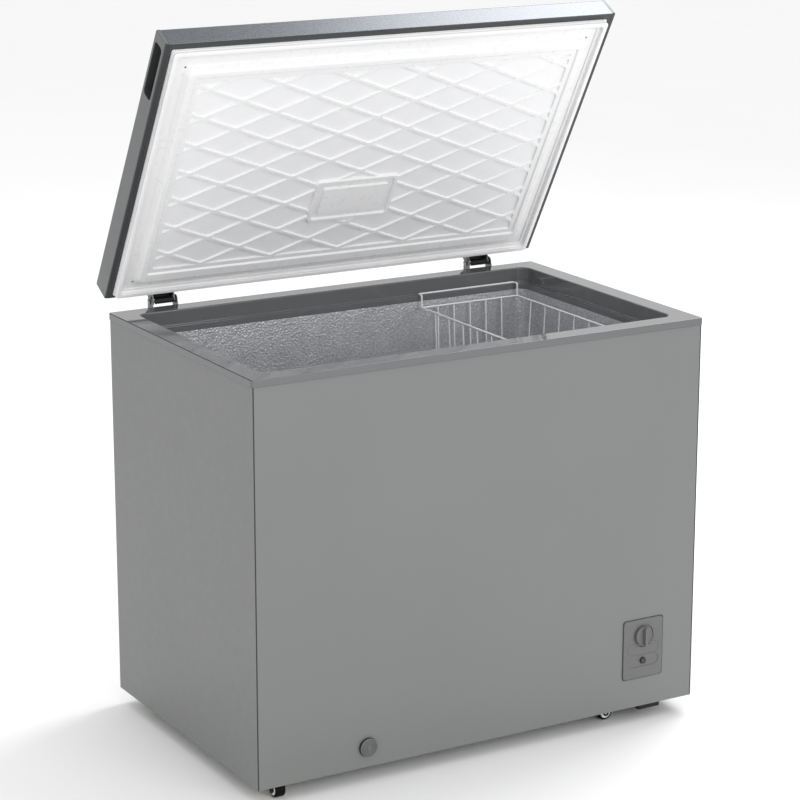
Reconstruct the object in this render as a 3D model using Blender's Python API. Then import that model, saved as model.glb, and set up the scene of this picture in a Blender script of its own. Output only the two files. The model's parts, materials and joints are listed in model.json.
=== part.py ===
"""Chest freezer with its lid propped open, modelled as an assembly of separate pieces.

Metres, +Z up, +X to the right of someone facing the front, +Y towards the back. Every size below is
measured from the middle of the cabinet, with Z from the floor. The root empty then moves the whole
freezer along Y, so that the origin lies under the middle of the open freezer's outline.
"""
import math

import bmesh
import bpy
from mathutils import Vector

# Cabinet
CABINET_W = 0.955
CABINET_D = 0.597
FLOOR_GAP = 0.032
BODY_H = 0.7616
RIM_TOP = FLOOR_GAP + BODY_H
SHEET = 0.0008
GAP = 0.0003
SEAM = 0.0010
HALF_W = CABINET_W / 2
HALF_D = CABINET_D / 2

# Plastic frame round the mouth
LIP_H = 0.0137
LIP_OVER = 0.0023
OPEN_X = 0.438
OPEN_Y = 0.259
LEDGE = 0.0095
LEDGE_DROP = 0.030
FRAME_DROP = 0.042
FRAME_WALL = 0.002
INNER_X = OPEN_X - LEDGE
INNER_Y = OPEN_Y - LEDGE

# Cavity and the compressor compartment under its step
CAVITY_FLOOR = FLOOR_GAP + 0.056
STEP_X = 0.205
STEP_TOP = FLOOR_GAP + 0.262
LINER_WALL = 0.001
BAY_X = 0.262
BAY_TOP = FLOOR_GAP + 0.207
POCKET_TOP = FLOOR_GAP + 0.013
PLATE_T = 0.0015
COIL_LOW = 0.330
COIL_HIGH = 0.690
COIL_TURNS = 5
COIL_R = 0.0035
COIL_BEND = 0.0055
DRIER_SWELL = 3.6

# Lid
LID_W = 0.9624
LID_D = 0.5989
LID_T = 0.0451
LID_GAP = 0.012
LID_OPEN_DEG = 60.0
LID_UNDER = RIM_TOP + LID_GAP
LID_TOP = LID_UNDER + LID_T
CAP_T = 0.007
TRIM_SIDE = 0.0145
TRIM_FRONT = 0.0125
TRIM_BACK = 0.0045
PLATEAU_DROP = 0.014
SLOPE_X = 0.4335
SLOPE_FRONT = 0.0513
SLOPE_BACK = 0.0340
SLOPE_RUN = 0.009
GASKET_FOOT = 0.0006
HANDLE_LOW = 0.018
HANDLE_HIGH = 0.134
HANDLE_H = 0.030
HANDLE_WALL = 0.0022
HANDLE_DEPTH = 0.022

# Hinges
PIN_Y = 0.3166
PIN_Z = RIM_TOP + 0.0067
PIN_R = 0.003
PIN_HOLE_R = 0.0033
HINGE_X = 0.358
CHEEK_T = 0.002
CHEEK_OUT = 0.0275
CHEEK_IN = 0.0235

# Front fittings
PANEL_X = 0.3589
PANEL_Z = FLOOR_GAP + 0.1194
PANEL_HX = 0.0454
PANEL_HZ = 0.0597
KNOB_Z = FLOOR_GAP + 0.1455
KNOB_R = 0.0190
KNOB_RECESS_R = 0.0235
KNOB_GRIP_FRONT = -HALF_D - 0.0160
LAMP_Z = FLOOR_GAP + 0.0945
DRAIN_X = -0.2515
DRAIN_Z = FLOOR_GAP + 0.0395
DRAIN_Y = -0.200

# Basket
BASKET_X0 = 0.1785
BASKET_X1 = 0.4065
BASKET_Y = 0.2385
BASKET_RIM_Z = RIM_TOP - 0.0535
BASKET_FLOOR_Z = BASKET_RIM_Z - 0.205
BASKET_TAPER = 0.010
HANGER_Z = RIM_TOP - LEDGE_DROP + 0.0019
HANGER_Y = OPEN_Y - 0.0055
WIRE_R = 0.0016
RIM_WIRE_R = 0.0020
HANGER_BEND = 0.004
PANEL_RISE = 0.0065
SHORT_GAPS = 6
LONG_GAPS = 9

# Casters
WHEEL_R = 0.015
WHEEL_W = 0.020
TRAIL = 0.014
JOURNAL_R = 0.0024
JOURNAL_HOLE_R = 0.0027
SWIVEL_ROOM = 0.036
WHEEL_ROOM = 0.024
FRONT_PIVOTS = ((-0.423, -0.254), (0.317, -0.250))
FRONT_WHEELS = ((-0.423, -0.254 - TRAIL), (0.317 - TRAIL, -0.250))
REAR_WHEELS = ((-0.432, 0.222), (0.303, 0.222))

# Origin: halfway between the knob's grip and the open lid's rearmost edge
LID_EDGE_Y = LID_D / 2 - PIN_Y
LID_EDGE_Z = LID_TOP - PIN_Z
OPEN_RAD = math.radians(LID_OPEN_DEG)
LID_BACK_REACH = PIN_Y + LID_EDGE_Y * math.cos(OPEN_RAD) + LID_EDGE_Z * math.sin(OPEN_RAD)
FRAME_Y = -(LID_BACK_REACH + KNOB_GRIP_FRONT) / 2


def clear_scene():
    for old in list(bpy.data.objects):
        bpy.data.objects.remove(old)


def material(name, colour, roughness, metallic=0.0):
    mat = bpy.data.materials.new(name)
    mat.use_nodes = True
    shader = mat.node_tree.nodes["Principled BSDF"]
    shader.inputs["Base Color"].default_value = (*colour, 1.0)
    shader.inputs["Roughness"].default_value = roughness
    shader.inputs["Metallic"].default_value = metallic
    mat.diffuse_color = (*colour, 1.0)
    return mat


def empty(name, location, parent=None, turn_x=0.0):
    pivot = bpy.data.objects.new(name, None)
    bpy.context.scene.collection.objects.link(pivot)
    pivot.location = location
    pivot.rotation_euler = (turn_x, 0.0, 0.0)
    pivot.parent = parent
    return pivot


clear_scene()
ROOT = empty("freezer", (0.0, FRAME_Y, 0.0))
LID = empty("lid_axis", (0.0, PIN_Y, PIN_Z), ROOT, -OPEN_RAD)

PAINT = material("grey_painted_steel", (0.26, 0.27, 0.26), 0.45, 0.1)
LID_STEEL = material("lid_satin_steel", (0.30, 0.32, 0.34), 0.32, 0.9)
RIM_PLASTIC = material("rim_plastic", (0.18, 0.18, 0.18), 0.3)
DARK_PLASTIC = material("dark_plastic", (0.07, 0.07, 0.07), 0.45)
BLACK = material("black_plastic", (0.012, 0.012, 0.012), 0.5)
RUBBER = material("black_rubber", (0.01, 0.01, 0.01), 0.8)
WHITE = material("white_plastic", (0.85, 0.85, 0.86), 0.35)
GASKET_WHITE = material("gasket_vinyl", (0.78, 0.78, 0.79), 0.55)
FOAM = material("foam", (0.75, 0.68, 0.45), 0.9)
ALUMINIUM = material("embossed_aluminium", (0.45, 0.46, 0.47), 0.35, 0.9)
ZINC = material("zinc_steel", (0.42, 0.43, 0.44), 0.35, 0.9)
CHROME = material("chrome", (0.75, 0.76, 0.78), 0.15, 1.0)
WIRE = material("coated_wire", (0.75, 0.76, 0.78), 0.3, 0.3)
COPPER = material("copper", (0.62, 0.30, 0.17), 0.35, 1.0)
PANEL_PLASTIC = material("panel_plastic", (0.17, 0.17, 0.17), 0.45)
LENS = material("green_lens", (0.01, 0.05, 0.02), 0.2)


def finish(name, bm, mat, pivot=None):
    """Turns a bmesh in cabinet coordinates into an object whose origin is on its pivot."""
    bmesh.ops.recalc_face_normals(bm, faces=bm.faces)
    if pivot is not None:
        bmesh.ops.translate(bm, verts=bm.verts, vec=-pivot.location)
    mesh = bpy.data.meshes.new(name)
    bm.to_mesh(mesh)
    bm.free()
    mesh.materials.append(mat)
    mesh.shade_smooth()
    mesh.set_sharp_from_angle(angle=math.radians(32))
    obj = bpy.data.objects.new(name, mesh)
    bpy.context.scene.collection.objects.link(obj)
    obj.parent = pivot or ROOT
    return obj


def boolean(obj, tool_bm, operation="DIFFERENCE", pivot=None, use_self=False):
    """Cuts a tool out of an object, or joins it on, with the tool kept as a hidden guide."""
    tool = finish(f"tool_{obj.name}_{len(obj.modifiers)}", tool_bm, obj.data.materials[0], pivot)
    tool.hide_render = True
    tool.display_type = "WIRE"
    change = obj.modifiers.new(f"{operation.lower()}_{len(obj.modifiers)}", "BOOLEAN")
    change.operation = operation
    change.solver = "EXACT"
    change.use_self = use_self
    change.object = tool
    return obj


def skin(loops, closed=False):
    """Joins loops of equal length with quads; the end loops are filled unless the skin is closed."""
    bm = bmesh.new()
    rings = [[bm.verts.new(point) for point in loop] for loop in loops]
    count = len(rings[0])
    pairs = list(zip(rings, rings[1:]))
    if closed:
        pairs.append((rings[-1], rings[0]))
    for low, high in pairs:
        for i in range(count):
            j = (i + 1) % count
            bm.faces.new((low[i], low[j], high[j], high[i]))
    if not closed:
        bm.faces.new(rings[0])
        bm.faces.new(rings[-1])
    return bm


def on_axis(axis, u, v, w):
    """A point from its two coordinates across an axis and its height along it."""
    return {"X": (w, u, v), "Y": (u, w, v), "Z": (u, v, w)}[axis]


def rounded_rect(hx, hy, r, cx=0.0, cy=0.0, steps=3):
    points = []
    for k, (sx, sy) in enumerate(((1, 1), (-1, 1), (-1, -1), (1, -1))):
        for i in range(steps + 1):
            a = math.radians(90 * k + 90 * i / steps)
            points.append((cx + sx * (hx - r) + r * math.cos(a), cy + sy * (hy - r) + r * math.sin(a)))
    return points


def loft(stations, axis="Z", closed=False, steps=3):
    """Rounded rectangles (half size, half size, corner radius, height[, centre, centre]) joined in order."""
    loops = []
    for hx, hy, r, w, *centre in stations:
        loops.append([on_axis(axis, u, v, w) for u, v in rounded_rect(hx, hy, r, *centre, steps=steps)])
    return skin(loops, closed)


def turned(profile, centre, axis="Z", steps=24, closed=False):
    """Circles (radius, height) about an axis through centre, joined in order."""
    loops = []
    for r, w in profile:
        ring = []
        for i in range(steps):
            a = 2 * math.pi * i / steps
            ring.append(Vector(on_axis(axis, r * math.cos(a), r * math.sin(a), w)) + Vector(centre))
        loops.append(ring)
    return skin(loops, closed)


def box(low, high):
    (x0, y0, z0), (x1, y1, z1) = low, high
    return skin([[(x0, y0, z), (x1, y0, z), (x1, y1, z), (x0, y1, z)] for z in (z0, z1)])


def prism(points, axis, low, high):
    return skin([[on_axis(axis, u, v, w) for u, v in points] for w in (low, high)])


def merge(*meshes):
    """One bmesh from several that lie apart, to cut them all out at once."""
    whole = bmesh.new()
    for bm in meshes:
        part = bpy.data.meshes.new("part")
        bm.to_mesh(part)
        bm.free()
        whole.from_mesh(part)
        bpy.data.meshes.remove(part)
    return whole


def arc(cx, cy, r, start, end, steps):
    turn = [math.radians(start + (end - start) * i / steps) for i in range(steps + 1)]
    return [(cx + r * math.cos(a), cy + r * math.sin(a)) for a in turn]


def tube(name, points, radius, mat, resolution=1):
    """A round bar or pipe along points; a point's fourth value, if any, swells the pipe there."""
    curve = bpy.data.curves.new(name, "CURVE")
    curve.dimensions = "3D"
    curve.bevel_depth = radius
    curve.bevel_resolution = resolution
    curve.use_fill_caps = True
    spline = curve.splines.new("POLY")
    spline.points.add(len(points) - 1)
    for slot, point in zip(spline.points, points):
        slot.co = (*point[:3], 1.0)
        if len(point) > 3:
            slot.radius = point[3]
    curve.materials.append(mat)
    obj = bpy.data.objects.new(name, curve)
    bpy.context.scene.collection.objects.link(obj)
    obj.parent = ROOT
    return obj


def rounded_path(points, radius, steps=3):
    """A route of straight runs with each inner corner rounded."""
    route = [Vector(p) for p in points]
    path = [route[0]]
    for before, corner, after in zip(route, route[1:], route[2:]):
        start = corner + (before - corner).normalized() * radius
        end = corner + (after - corner).normalized() * radius
        for i in range(steps + 1):
            t = i / steps
            path.append(start * (1 - t) ** 2 + corner * 2 * t * (1 - t) + end * t ** 2)
    path.append(route[-1])
    return path


def make_outer_case():
    top = RIM_TOP - LIP_H + 0.010
    front = finish("front_panel", box((-HALF_W + SHEET + SEAM, -HALF_D, FLOOR_GAP),
                                      (HALF_W - SHEET - SEAM, -HALF_D + SHEET, top)), PAINT)
    holes = merge(box((PANEL_X - 0.041, -HALF_D - 0.01, PANEL_Z - 0.055),
                      (PANEL_X + 0.041, -HALF_D + 0.01, PANEL_Z + 0.055)),
                  turned([(0.0115, -0.01), (0.0115, 0.01)], (DRAIN_X, -HALF_D, DRAIN_Z), "Y"))
    boolean(front, holes)
    for side, name in ((-1, "left_side_panel"), (1, "right_side_panel")):
        x = sorted((side * HALF_W, side * (HALF_W - SHEET)))
        panel = finish(name, box((x[0], -HALF_D + GAP, FLOOR_GAP), (x[1], HALF_D, top)), PAINT)
        if side > 0:
            boolean(panel, box((HALF_W - 0.01, 0.015, FLOOR_GAP + 0.045),
                               (HALF_W + 0.01, 0.225, FLOOR_GAP + 0.165)))
    edge = HALF_W - SHEET - GAP
    back = finish("back_panel", box((-edge, HALF_D - SHEET, FLOOR_GAP), (edge, HALF_D, top)), PAINT)
    boolean(back, box((BAY_X + 0.012, HALF_D - 0.01, FLOOR_GAP - 0.01),
                      (edge + 0.01, HALF_D + 0.01, BAY_TOP - 0.010)))
    inside_y = HALF_D - SHEET - GAP
    sheet = box((-edge, -inside_y, FLOOR_GAP), (BAY_X - GAP, inside_y, FLOOR_GAP + SHEET))
    pan = finish("base_pan", sheet, PAINT)
    boolean(pan, merge(*[box(low, high) for low, high in left_pockets(0.0, -0.01)]))


def left_pockets(margin, bottom):
    """The two recesses in the bottom at the left, where the casters are fixed."""
    pivot_x, pivot_y = FRONT_PIVOTS[0]
    rear_y = REAR_WHEELS[0][1]
    spans = [(pivot_y - SWIVEL_ROOM, pivot_y + SWIVEL_ROOM), (rear_y - WHEEL_ROOM, rear_y + WHEEL_ROOM)]
    x0 = pivot_x - SWIVEL_ROOM
    x1 = pivot_x + SWIVEL_ROOM
    return [((x0 - margin, y0 - margin, FLOOR_GAP + bottom), (x1 + margin, y1 + margin, POCKET_TOP + margin))
            for y0, y1 in spans]


def cavity_outline(grow, top):
    """The cavity's outline from the front, with the step over the compressor at the right."""
    x = INNER_X + grow
    return [(-x, top), (-x, CAVITY_FLOOR - grow), (STEP_X + grow, CAVITY_FLOOR - grow),
            (STEP_X + grow, STEP_TOP - grow), (x, STEP_TOP - grow), (x, top)]


def make_liner():
    """The embossed liner as flat sheets: four walls, a floor and the step over the compressor."""
    t = LINER_WALL
    top = RIM_TOP - FRAME_DROP - 0.0004
    y = INNER_Y - GAP
    outline = cavity_outline(t, top)
    finish("liner_front_wall", prism(outline, "Y", -INNER_Y - t, -INNER_Y), ALUMINIUM)
    finish("liner_back_wall", prism(outline, "Y", INNER_Y, INNER_Y + t), ALUMINIUM)
    left = box((-INNER_X - t, -y, CAVITY_FLOOR + GAP), (-INNER_X, y, top))
    finish("liner_left_wall", left, ALUMINIUM)
    right = box((INNER_X, -y, STEP_TOP + GAP), (INNER_X + t, y, top))
    finish("liner_right_wall", right, ALUMINIUM)
    base = box((-INNER_X - t, -y, CAVITY_FLOOR - t), (STEP_X - GAP, y, CAVITY_FLOOR))
    floor = finish("liner_floor", base, ALUMINIUM)
    boolean(floor, turned([(0.0095, -0.01), (0.0095, 0.01)], (DRAIN_X, DRAIN_Y, CAVITY_FLOOR)))
    fold = [(STEP_X, CAVITY_FLOOR - t), (STEP_X + t, CAVITY_FLOOR - t), (STEP_X + t, STEP_TOP - t),
            (INNER_X + t, STEP_TOP - t), (INNER_X + t, STEP_TOP), (STEP_X, STEP_TOP)]
    finish("liner_step", prism(fold, "Y", -y, y), ALUMINIUM)


def make_foam():
    """The foam between the case and the liner, with room for all that is buried in it."""
    side = HALF_W - SHEET - GAP
    depth = HALF_D - SHEET - GAP
    low = FLOOR_GAP + SHEET + GAP
    high = RIM_TOP - 0.0030
    shell = [(-side, low), (BAY_X, low), (BAY_X, BAY_TOP), (side, BAY_TOP), (side, high), (-side, high)]
    foam = finish("cabinet_foam", prism(shell, "Y", -depth, depth), FOAM)
    wide = LINER_WALL + GAP
    boolean(foam, prism(cavity_outline(wide, RIM_TOP + 0.01), "Y", -INNER_Y - wide, INNER_Y + wide))
    clear = FRAME_WALL + GAP
    boolean(foam, loft([(OPEN_X + clear, OPEN_Y + clear, 0.012, RIM_TOP - LEDGE_DROP - clear),
                        (OPEN_X + clear, OPEN_Y + clear, 0.012, RIM_TOP + 0.01)]))
    boolean(foam, loft([(INNER_X + clear, INNER_Y + clear, 0.012, RIM_TOP - FRAME_DROP - 0.001),
                        (INNER_X + clear, INNER_Y + clear, 0.012, RIM_TOP - LEDGE_DROP + 0.001)]))
    groove = LINER_WALL + 2 * COIL_R + 0.0022
    boolean(foam, loft([(INNER_X + groove, INNER_Y + groove, 0.004, COIL_LOW - 0.006),
                        (INNER_X + groove, INNER_Y + groove, 0.004, COIL_HIGH + 0.006)]))
    boolean(foam, box((-0.445, HALF_D - 0.0075, 0.10), (0.225, HALF_D + 0.01, 0.72)))
    boolean(foam, merge(*[box(a, b) for a, b in left_pockets(0.002, -0.01)]))
    bore = 0.0095
    boolean(foam, box((DRAIN_X - bore, -HALF_D - 0.01, DRAIN_Z - bore),
                      (DRAIN_X + bore, DRAIN_Y + 0.0135, DRAIN_Z + bore)))
    boolean(foam, turned([(0.012, DRAIN_Z), (0.012, CAVITY_FLOOR + 0.01)], (DRAIN_X, DRAIN_Y, 0)))


def make_coils():
    """The evaporator wound round the liner, and the condenser run up and down inside the back."""
    hx = INNER_X + LINER_WALL + COIL_R + 0.0010
    hy = INNER_Y + LINER_WALL + COIL_R + 0.0010
    lap = rounded_rect(hx, hy, COIL_BEND, steps=3)
    points = []
    total = COIL_TURNS * len(lap)
    for i in range(total):
        x, y = lap[i % len(lap)]
        points.append((x, y, COIL_LOW + (COIL_HIGH - COIL_LOW) * i / total))
    tube("evaporator_tube", points, COIL_R, ALUMINIUM)

    runs = 6
    y = HALF_D - SHEET - 0.0038
    route = []
    for i in range(runs):
        z = 0.13 + 0.55 * i / (runs - 1)
        ends = (-0.42, 0.20) if i % 2 == 0 else (0.20, -0.42)
        route += [(ends[0], y, z), (ends[1], y, z)]
    tube("condenser_tube", rounded_path(route, 0.03), 0.0025, COPPER)


def make_top_frame():
    over = LIP_OVER
    t = FRAME_WALL
    stations = [
        (HALF_W + over, HALF_D + over, 0.005, RIM_TOP - LIP_H),
        (HALF_W + over, HALF_D + over, 0.005, RIM_TOP - 0.0012),
        (HALF_W + over - 0.0012, HALF_D + over - 0.0012, 0.004, RIM_TOP),
        (OPEN_X + 0.0015, OPEN_Y + 0.0015, 0.0215, RIM_TOP),
        (OPEN_X, OPEN_Y, 0.020, RIM_TOP - 0.0015),
        (OPEN_X, OPEN_Y, 0.020, RIM_TOP - LEDGE_DROP),
        (INNER_X, INNER_Y, 0.020, RIM_TOP - LEDGE_DROP - 0.0008),
        (INNER_X, INNER_Y, 0.020, RIM_TOP - FRAME_DROP),
        (INNER_X + t, INNER_Y + t, 0.022, RIM_TOP - FRAME_DROP),
        (INNER_X + t, INNER_Y + t, 0.022, RIM_TOP - LEDGE_DROP - t),
        (OPEN_X + t, OPEN_Y + t, 0.022, RIM_TOP - LEDGE_DROP - t),
        (OPEN_X + t, OPEN_Y + t, 0.022, RIM_TOP - t - 0.0005),
        (HALF_W + GAP, HALF_D + GAP, 0.0004, RIM_TOP - t - 0.0005),
        (HALF_W + GAP, HALF_D + GAP, 0.0004, RIM_TOP - LIP_H),
    ]
    finish("top_frame", loft(stations, closed=True, steps=4), RIM_PLASTIC)


def make_compressor_bay():
    t = PLATE_T
    shroud = [(BAY_X + GAP, FLOOR_GAP + 0.0165), (BAY_X + GAP + t, FLOOR_GAP + 0.0165),
              (BAY_X + GAP + t, BAY_TOP - GAP - t), (HALF_W - 0.002, BAY_TOP - GAP - t),
              (HALF_W - 0.002, BAY_TOP - GAP), (BAY_X + GAP, BAY_TOP - GAP)]
    finish("compartment_shroud", prism(shroud, "Y", -HALF_D + 0.013, HALF_D - 0.006), ZINC)
    plate = box((BAY_X + GAP, -0.2925, POCKET_TOP + GAP), (HALF_W - 0.002, 0.2925, POCKET_TOP + GAP + t))
    tray = finish("compressor_tray", plate, BLACK)
    foot = loft([(0.0245, 0.0070, 0.002, FLOOR_GAP - 0.0095, 0.3805, -0.2885),
                 (0.0250, 0.0075, 0.002, FLOOR_GAP - 0.0080, 0.3805, -0.2885),
                 (0.0250, 0.0075, 0.002, POCKET_TOP + t, 0.3805, -0.2885)], steps=2)
    boolean(tray, foot, "UNION")

    centre = (0.372, 0.110, POCKET_TOP + t + 0.0225)
    can = [(0.040, 0.0), (0.066, 0.006), (0.074, 0.022), (0.075, 0.060), (0.079, 0.062), (0.079, 0.066),
           (0.075, 0.068), (0.074, 0.105), (0.064, 0.128), (0.040, 0.141), (0.014, 0.145)]
    compressor = finish("compressor", turned(can, centre), BLACK)
    foot_plate = loft([(0.080, 0.060, 0.010, centre[2] - 0.0025, centre[0], centre[1]),
                       (0.080, 0.060, 0.010, centre[2] + 0.0005, centre[0], centre[1])], steps=2)
    boolean(compressor, foot_plate, "UNION")
    for sx in (-1, 1):
        for sy in (-1, 1):
            post = turned([(0.009, POCKET_TOP + t + 0.0006), (0.009, centre[2] - 0.0020)],
                          (centre[0] + sx * 0.064, centre[1] + sy * 0.044, 0), steps=12)
            boolean(compressor, post, "UNION")
    relay_box = loft([(0.018, 0.030, 0.004, 0.085, 0.372, 0.006),
                      (0.018, 0.030, 0.004, 0.165, 0.372, 0.006)], steps=2)
    boolean(compressor, relay_box, "UNION")

    pipe = rounded_path([(0.372, 0.0345, 0.176), (0.372, -0.060, 0.176), (0.300, -0.060, 0.176),
                         (0.300, -0.060, 0.225), (0.300, -0.1003, 0.225), (0.300, -0.100, 0.2106)], 0.008, 2)
    drier = [(0.300, -0.100, 0.198, 1.0), (0.300, -0.100, 0.188, DRIER_SWELL),
             (0.300, -0.100, 0.112, DRIER_SWELL), (0.300, -0.100, 0.102, 1.0), (0.300, -0.100, 0.090, 1.0)]
    tube("discharge_tube", [(*point, 1.0) for point in pipe] + drier, 0.0025, COPPER)
    tube("suction_tube", rounded_path([(0.4525, 0.110, 0.120), (0.4625, 0.110, 0.120), (0.4625, 0.110, 0.200),
                                       (0.4625, 0.230, 0.200), (0.300, 0.230, 0.200), (0.300, 0.230, 0.226)],
                                      0.006, 2), 0.0035, COPPER)


def slots(count, axis_low, axis_high, make):
    """Equal louvre slots between two heights."""
    pitch = (axis_high - axis_low) / count
    return merge(*[make(axis_low + pitch * (i + 0.3), axis_low + pitch * (i + 0.8)) for i in range(count)])


def make_covers():
    x0, x1 = BAY_X + 0.002, HALF_W - 0.002
    y = HALF_D + GAP
    cover = finish("rear_cover", box((x0, y, FLOOR_GAP), (x1, y + 0.0012, BAY_TOP)), ZINC)
    boolean(cover, slots(7, FLOOR_GAP + 0.070, BAY_TOP - 0.020,
                         lambda a, b: box((x0 + 0.03, y - 0.01, a), (x1 - 0.03, y + 0.01, b))))
    boolean(cover, turned([(0.0075, -0.01), (0.0075, 0.01)], (0.300, y, FLOOR_GAP + 0.035), "Y"))
    bush = [(0.0085, -0.0015), (0.0085, -0.0003), (0.0070, -0.0003), (0.0070, 0.0015), (0.0095, 0.0015),
            (0.0095, 0.0050), (0.0060, 0.0110), (0.0040, 0.0110), (0.0040, -0.0015)]
    finish("cord_gland", turned(bush, (0.300, y, FLOOR_GAP + 0.035), "Y", 16, closed=True), BLACK)

    zc, hz, yc, hy = FLOOR_GAP + 0.105, 0.066, 0.120, 0.111
    w = HALF_W + GAP
    grille = loft([(hy, hz, 0.006, w, yc, zc), (hy, hz, 0.006, w + 0.0015, yc, zc),
                   (hy - 0.001, hz - 0.001, 0.005, w + 0.0025, yc, zc)], "X")
    grille_obj = finish("side_vent_grille", grille, DARK_PLASTIC)
    ends = hy - 0.015
    boolean(grille_obj, slots(8, zc - hz + 0.010, zc + hz - 0.010,
                              lambda a, b: box((w - 0.01, yc - ends, a), (w + 0.01, yc + ends, b))))


def make_controls():
    y = -HALF_D - GAP
    stations = [(PANEL_HX - 0.006, PANEL_HZ - 0.006, 0.004, -HALF_D + 0.010, PANEL_X, PANEL_Z),
                (PANEL_HX - 0.006, PANEL_HZ - 0.006, 0.004, y, PANEL_X, PANEL_Z),
                (PANEL_HX, PANEL_HZ, 0.007, y, PANEL_X, PANEL_Z),
                (PANEL_HX, PANEL_HZ, 0.007, y - 0.0020, PANEL_X, PANEL_Z),
                (PANEL_HX - 0.0008, PANEL_HZ - 0.0008, 0.006, y - 0.0028, PANEL_X, PANEL_Z)]
    panel = finish("control_panel", loft(stations, "Y"), PANEL_PLASTIC)
    face = y - 0.0028
    recess = [(KNOB_RECESS_R, 0.0020), (KNOB_RECESS_R, -0.01)]
    boolean(panel, turned(recess, (PANEL_X, face, KNOB_Z), "Y", 32))
    boolean(panel, merge(turned([(0.0046, -0.03), (0.0046, 0.03)], (PANEL_X, face, KNOB_Z), "Y"),
                         turned([(0.0060, -0.03), (0.0060, 0.03)], (PANEL_X, face, LAMP_Z), "Y")))
    boolean(panel, loft([(0.0363, 0.0120, 0.0115, face + 0.0010, PANEL_X, LAMP_Z),
                         (0.0363, 0.0120, 0.0115, face - 0.01, PANEL_X, LAMP_Z)], "Y"))

    lamp = [(0.0055, 0.0140), (0.0055, -0.0002), (0.0040, -0.0014), (0.0015, -0.0020)]
    finish("power_lamp", turned(lamp, (PANEL_X, face, LAMP_Z), "Y", 16), LENS)

    behind = -HALF_D + 0.0155
    body = loft([(0.024, 0.024, 0.003, behind, PANEL_X, KNOB_Z),
                 (0.024, 0.024, 0.003, behind + 0.030, PANEL_X, KNOB_Z)], "Y", steps=2)
    thermostat = finish("thermostat_body", body, ZINC)
    boolean(thermostat, turned([(0.0040, -0.01), (0.0040, 0.012)], (PANEL_X, behind, KNOB_Z), "Y", 16))

    axis = empty("knob_axis", (PANEL_X, -HALF_D, KNOB_Z), ROOT)
    knob = [(0.0030, 0.0250), (0.0030, -0.0018), (KNOB_R, -0.0018), (KNOB_R, -0.0065),
            (KNOB_R - 0.0015, -0.0085)]
    disc = turned(knob, (PANEL_X, -HALF_D, KNOB_Z), "Y", 32)
    knob_obj = finish("thermostat_knob", disc, PANEL_PLASTIC, axis)
    grip = [(0.0030, 0.0170, 0.002, -HALF_D - 0.0070, PANEL_X, KNOB_Z),
            (0.0022, 0.0165, 0.002, KNOB_GRIP_FRONT, PANEL_X, KNOB_Z)]
    boolean(knob_obj, loft(grip, "Y", steps=2), "UNION", axis)


def make_drain():
    cap_axis = empty("drain_cap_axis", (DRAIN_X, -HALF_D, DRAIN_Z), ROOT)
    cap = [(0.0055, 0.0150), (0.0055, -0.0010), (0.0180, -0.0010), (0.0180, -0.0050),
           (0.0165, -0.0065), (0.0120, -0.0070)]
    finish("drain_cap", turned(cap, (DRAIN_X, -HALF_D, DRAIN_Z), "Y", 32), PANEL_PLASTIC, cap_axis)
    length = DRAIN_Y + 0.012 + HALF_D
    pipe = [(0.0088, 0.0006), (0.0088, length), (0.0062, length), (0.0062, 0.0006)]
    pipe_obj = finish("drain_pipe", turned(pipe, (DRAIN_X, -HALF_D, DRAIN_Z), "Y", 16, closed=True), WHITE)
    riser_top = CAVITY_FLOOR - 0.0005
    riser = [(0.0088, DRAIN_Z), (0.0088, riser_top), (0.0062, riser_top), (0.0062, DRAIN_Z)]
    boolean(pipe_obj, turned(riser, (DRAIN_X, DRAIN_Y, 0), steps=16, closed=True), "UNION")
    bore = [(0.0060, DRAIN_Z - 0.004), (0.0060, CAVITY_FLOOR + 0.01)]
    boolean(pipe_obj, turned(bore, (DRAIN_X, DRAIN_Y, 0), steps=16))
    plug_axis = empty("drain_plug_axis", (DRAIN_X, DRAIN_Y, CAVITY_FLOOR), ROOT)
    plug = [(0.0045, -0.012), (0.0055, 0.0003), (0.0150, 0.0003), (0.0150, 0.0035),
            (0.0120, 0.0045), (0.0050, 0.0050)]
    finish("drain_plug", turned(plug, (DRAIN_X, DRAIN_Y, CAVITY_FLOOR), "Z", 24), RUBBER, plug_axis)


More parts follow.
